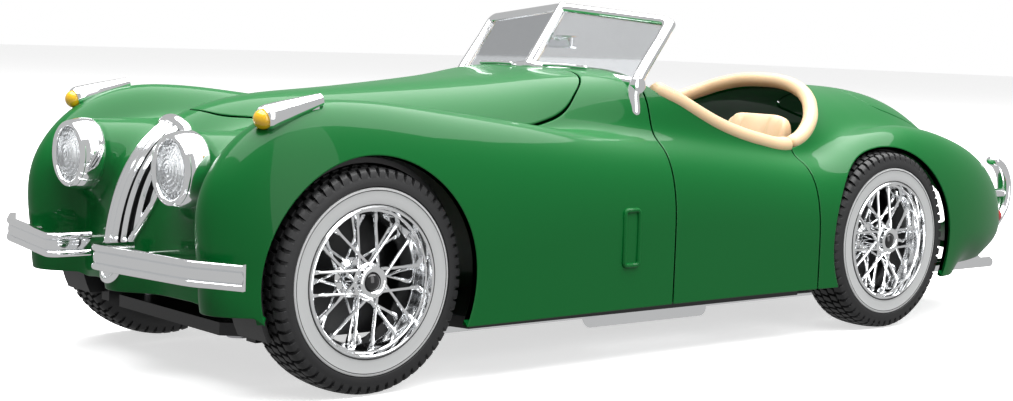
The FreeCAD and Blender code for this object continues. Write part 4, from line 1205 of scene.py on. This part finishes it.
# %% Finishes for the remaining CAD pieces
plain = {"steel": (steel, ("front_axle", "rear_axle", "chassis_screws", "steering_column")),
         "chrome": (chrome, ("exhaust_pipe",)),
         "black": (black, ("chassis_plate", "cockpit_tub")),
         "cream": (cream, ("door_trim_left", "door_trim_right")),
         "paint": (green, ("dashboard",)),
         "cast": (cast, ("engine_block",))}
for look, nodes in plain.values():
    for node in nodes:
        mesh = frame["nodes"][node].data
        mesh.materials.clear()
        mesh.materials.append(look)

# %% [markdown]
# Last come the floor, the lights and the camera. Gloss paint and plating show what surrounds them, so
# the studio is a plain white room with two broad soft lights. The room is white to the camera, dimmer
# in reflections and dimmer again as light, which keeps contrast in the paint, and the floor glows a
# little, so that shadows stay pale.

# %% Studio


def stage_plane(name, centre, size, turn, material):
    """A flat square, placed in its object, that belongs to the studio."""
    half = size / 2
    mesh = bpy.data.meshes.new(name)
    corners = [(-half, -half, 0), (half, -half, 0), (half, half, 0), (-half, half, 0)]
    mesh.from_pydata(corners, [], [(0, 1, 2, 3)])
    plane = bpy.data.objects.new(name, mesh)
    bpy.context.scene.collection.objects.link(plane)
    plane.location = centre
    plane.rotation_euler = turn
    mesh.materials.append(material)
    return plane


floor_paint = finish("pale floor", (0.86, 0.86, 0.86), 0.6, Emission_Color=(1, 1, 1, 1),
                     Emission_Strength=0.62)
floor = stage_plane("floor", (0, 0, 0), 6.0, (0, 0, 0), floor_paint)
floor.visible_glossy = False
floor.visible_diffuse = False

world = bpy.data.worlds.new("studio")
bpy.context.scene.world = world
world.use_nodes = True
nodes, links = world.node_tree.nodes, world.node_tree.links
nodes["Background"].inputs["Strength"].default_value = 0.25
rays = nodes.new("ShaderNodeLightPath")
shown = nodes["Background"]
for ray, strength in (("Is Glossy Ray", 0.5), ("Is Camera Ray", 1.0)):
    sky = nodes.new("ShaderNodeBackground")
    sky.inputs["Color"].default_value = (1, 1, 1, 1)
    sky.inputs["Strength"].default_value = strength
    blend = nodes.new("ShaderNodeMixShader")
    links.new(rays.outputs[ray], blend.inputs[0])
    links.new(shown.outputs[0], blend.inputs[1])
    links.new(sky.outputs[0], blend.inputs[2])
    shown = blend
nodes["Background"].inputs["Color"].default_value = (1, 1, 1, 1)
links.new(shown.outputs[0], nodes["World Output"].inputs["Surface"])
bpy.context.scene.view_settings.view_transform = "Standard"


def soft_light(name, place, target, size, power):
    """A square area light that looks at the target."""
    lamp = bpy.data.lights.new(name, "AREA")
    lamp.shape = "RECTANGLE"
    lamp.size, lamp.size_y = size
    lamp.energy = power
    light = bpy.data.objects.new(name, lamp)
    bpy.context.scene.collection.objects.link(light)
    light.location = place
    light.rotation_euler = (Vector(target) - Vector(place)).to_track_quat("-Z", "Y").to_euler()
    return light


soft_light("overhead softbox", (0.0, 0.05, 0.6), (0, 0, 0), (0.9, 1.1), 16.0)
soft_light("near side softbox", (0.7, 0.1, 0.3), (0, 0, 0.02), (0.4, 0.9), 2.2)

# %% [markdown]
# The camera stands to the car's left front, a little above its waist, with a long lens. Its axes
# are worked out from the way it faces and its small roll.

# %% Camera
CAMERA_PLACE = np.array([208.7634, -196.3794, 46.7192]) * MM
FACING, PITCH, ROLL = 2.4503, -0.0807, 0.0337

view_way = np.array([math.cos(PITCH) * math.cos(FACING), math.cos(PITCH) * math.sin(FACING), math.sin(PITCH)])
level = np.cross(view_way, [0, 0, 1])
level /= np.linalg.norm(level)
upright = np.cross(level, view_way)
right = math.cos(ROLL) * level + math.sin(ROLL) * upright
up = math.cos(ROLL) * upright - math.sin(ROLL) * level
lens = bpy.data.cameras.new("camera")
lens.lens = 62.26
lens.sensor_width = 36
lens.shift_x, lens.shift_y = 0.0331, -0.0226
lens.clip_start = 0.01
camera = bpy.data.objects.new("camera", lens)
bpy.context.scene.collection.objects.link(camera)
turn = Matrix((right, up, -view_way)).transposed().to_4x4()
camera.matrix_world = Matrix.Translation(CAMERA_PLACE) @ turn
bpy.context.scene.camera = camera
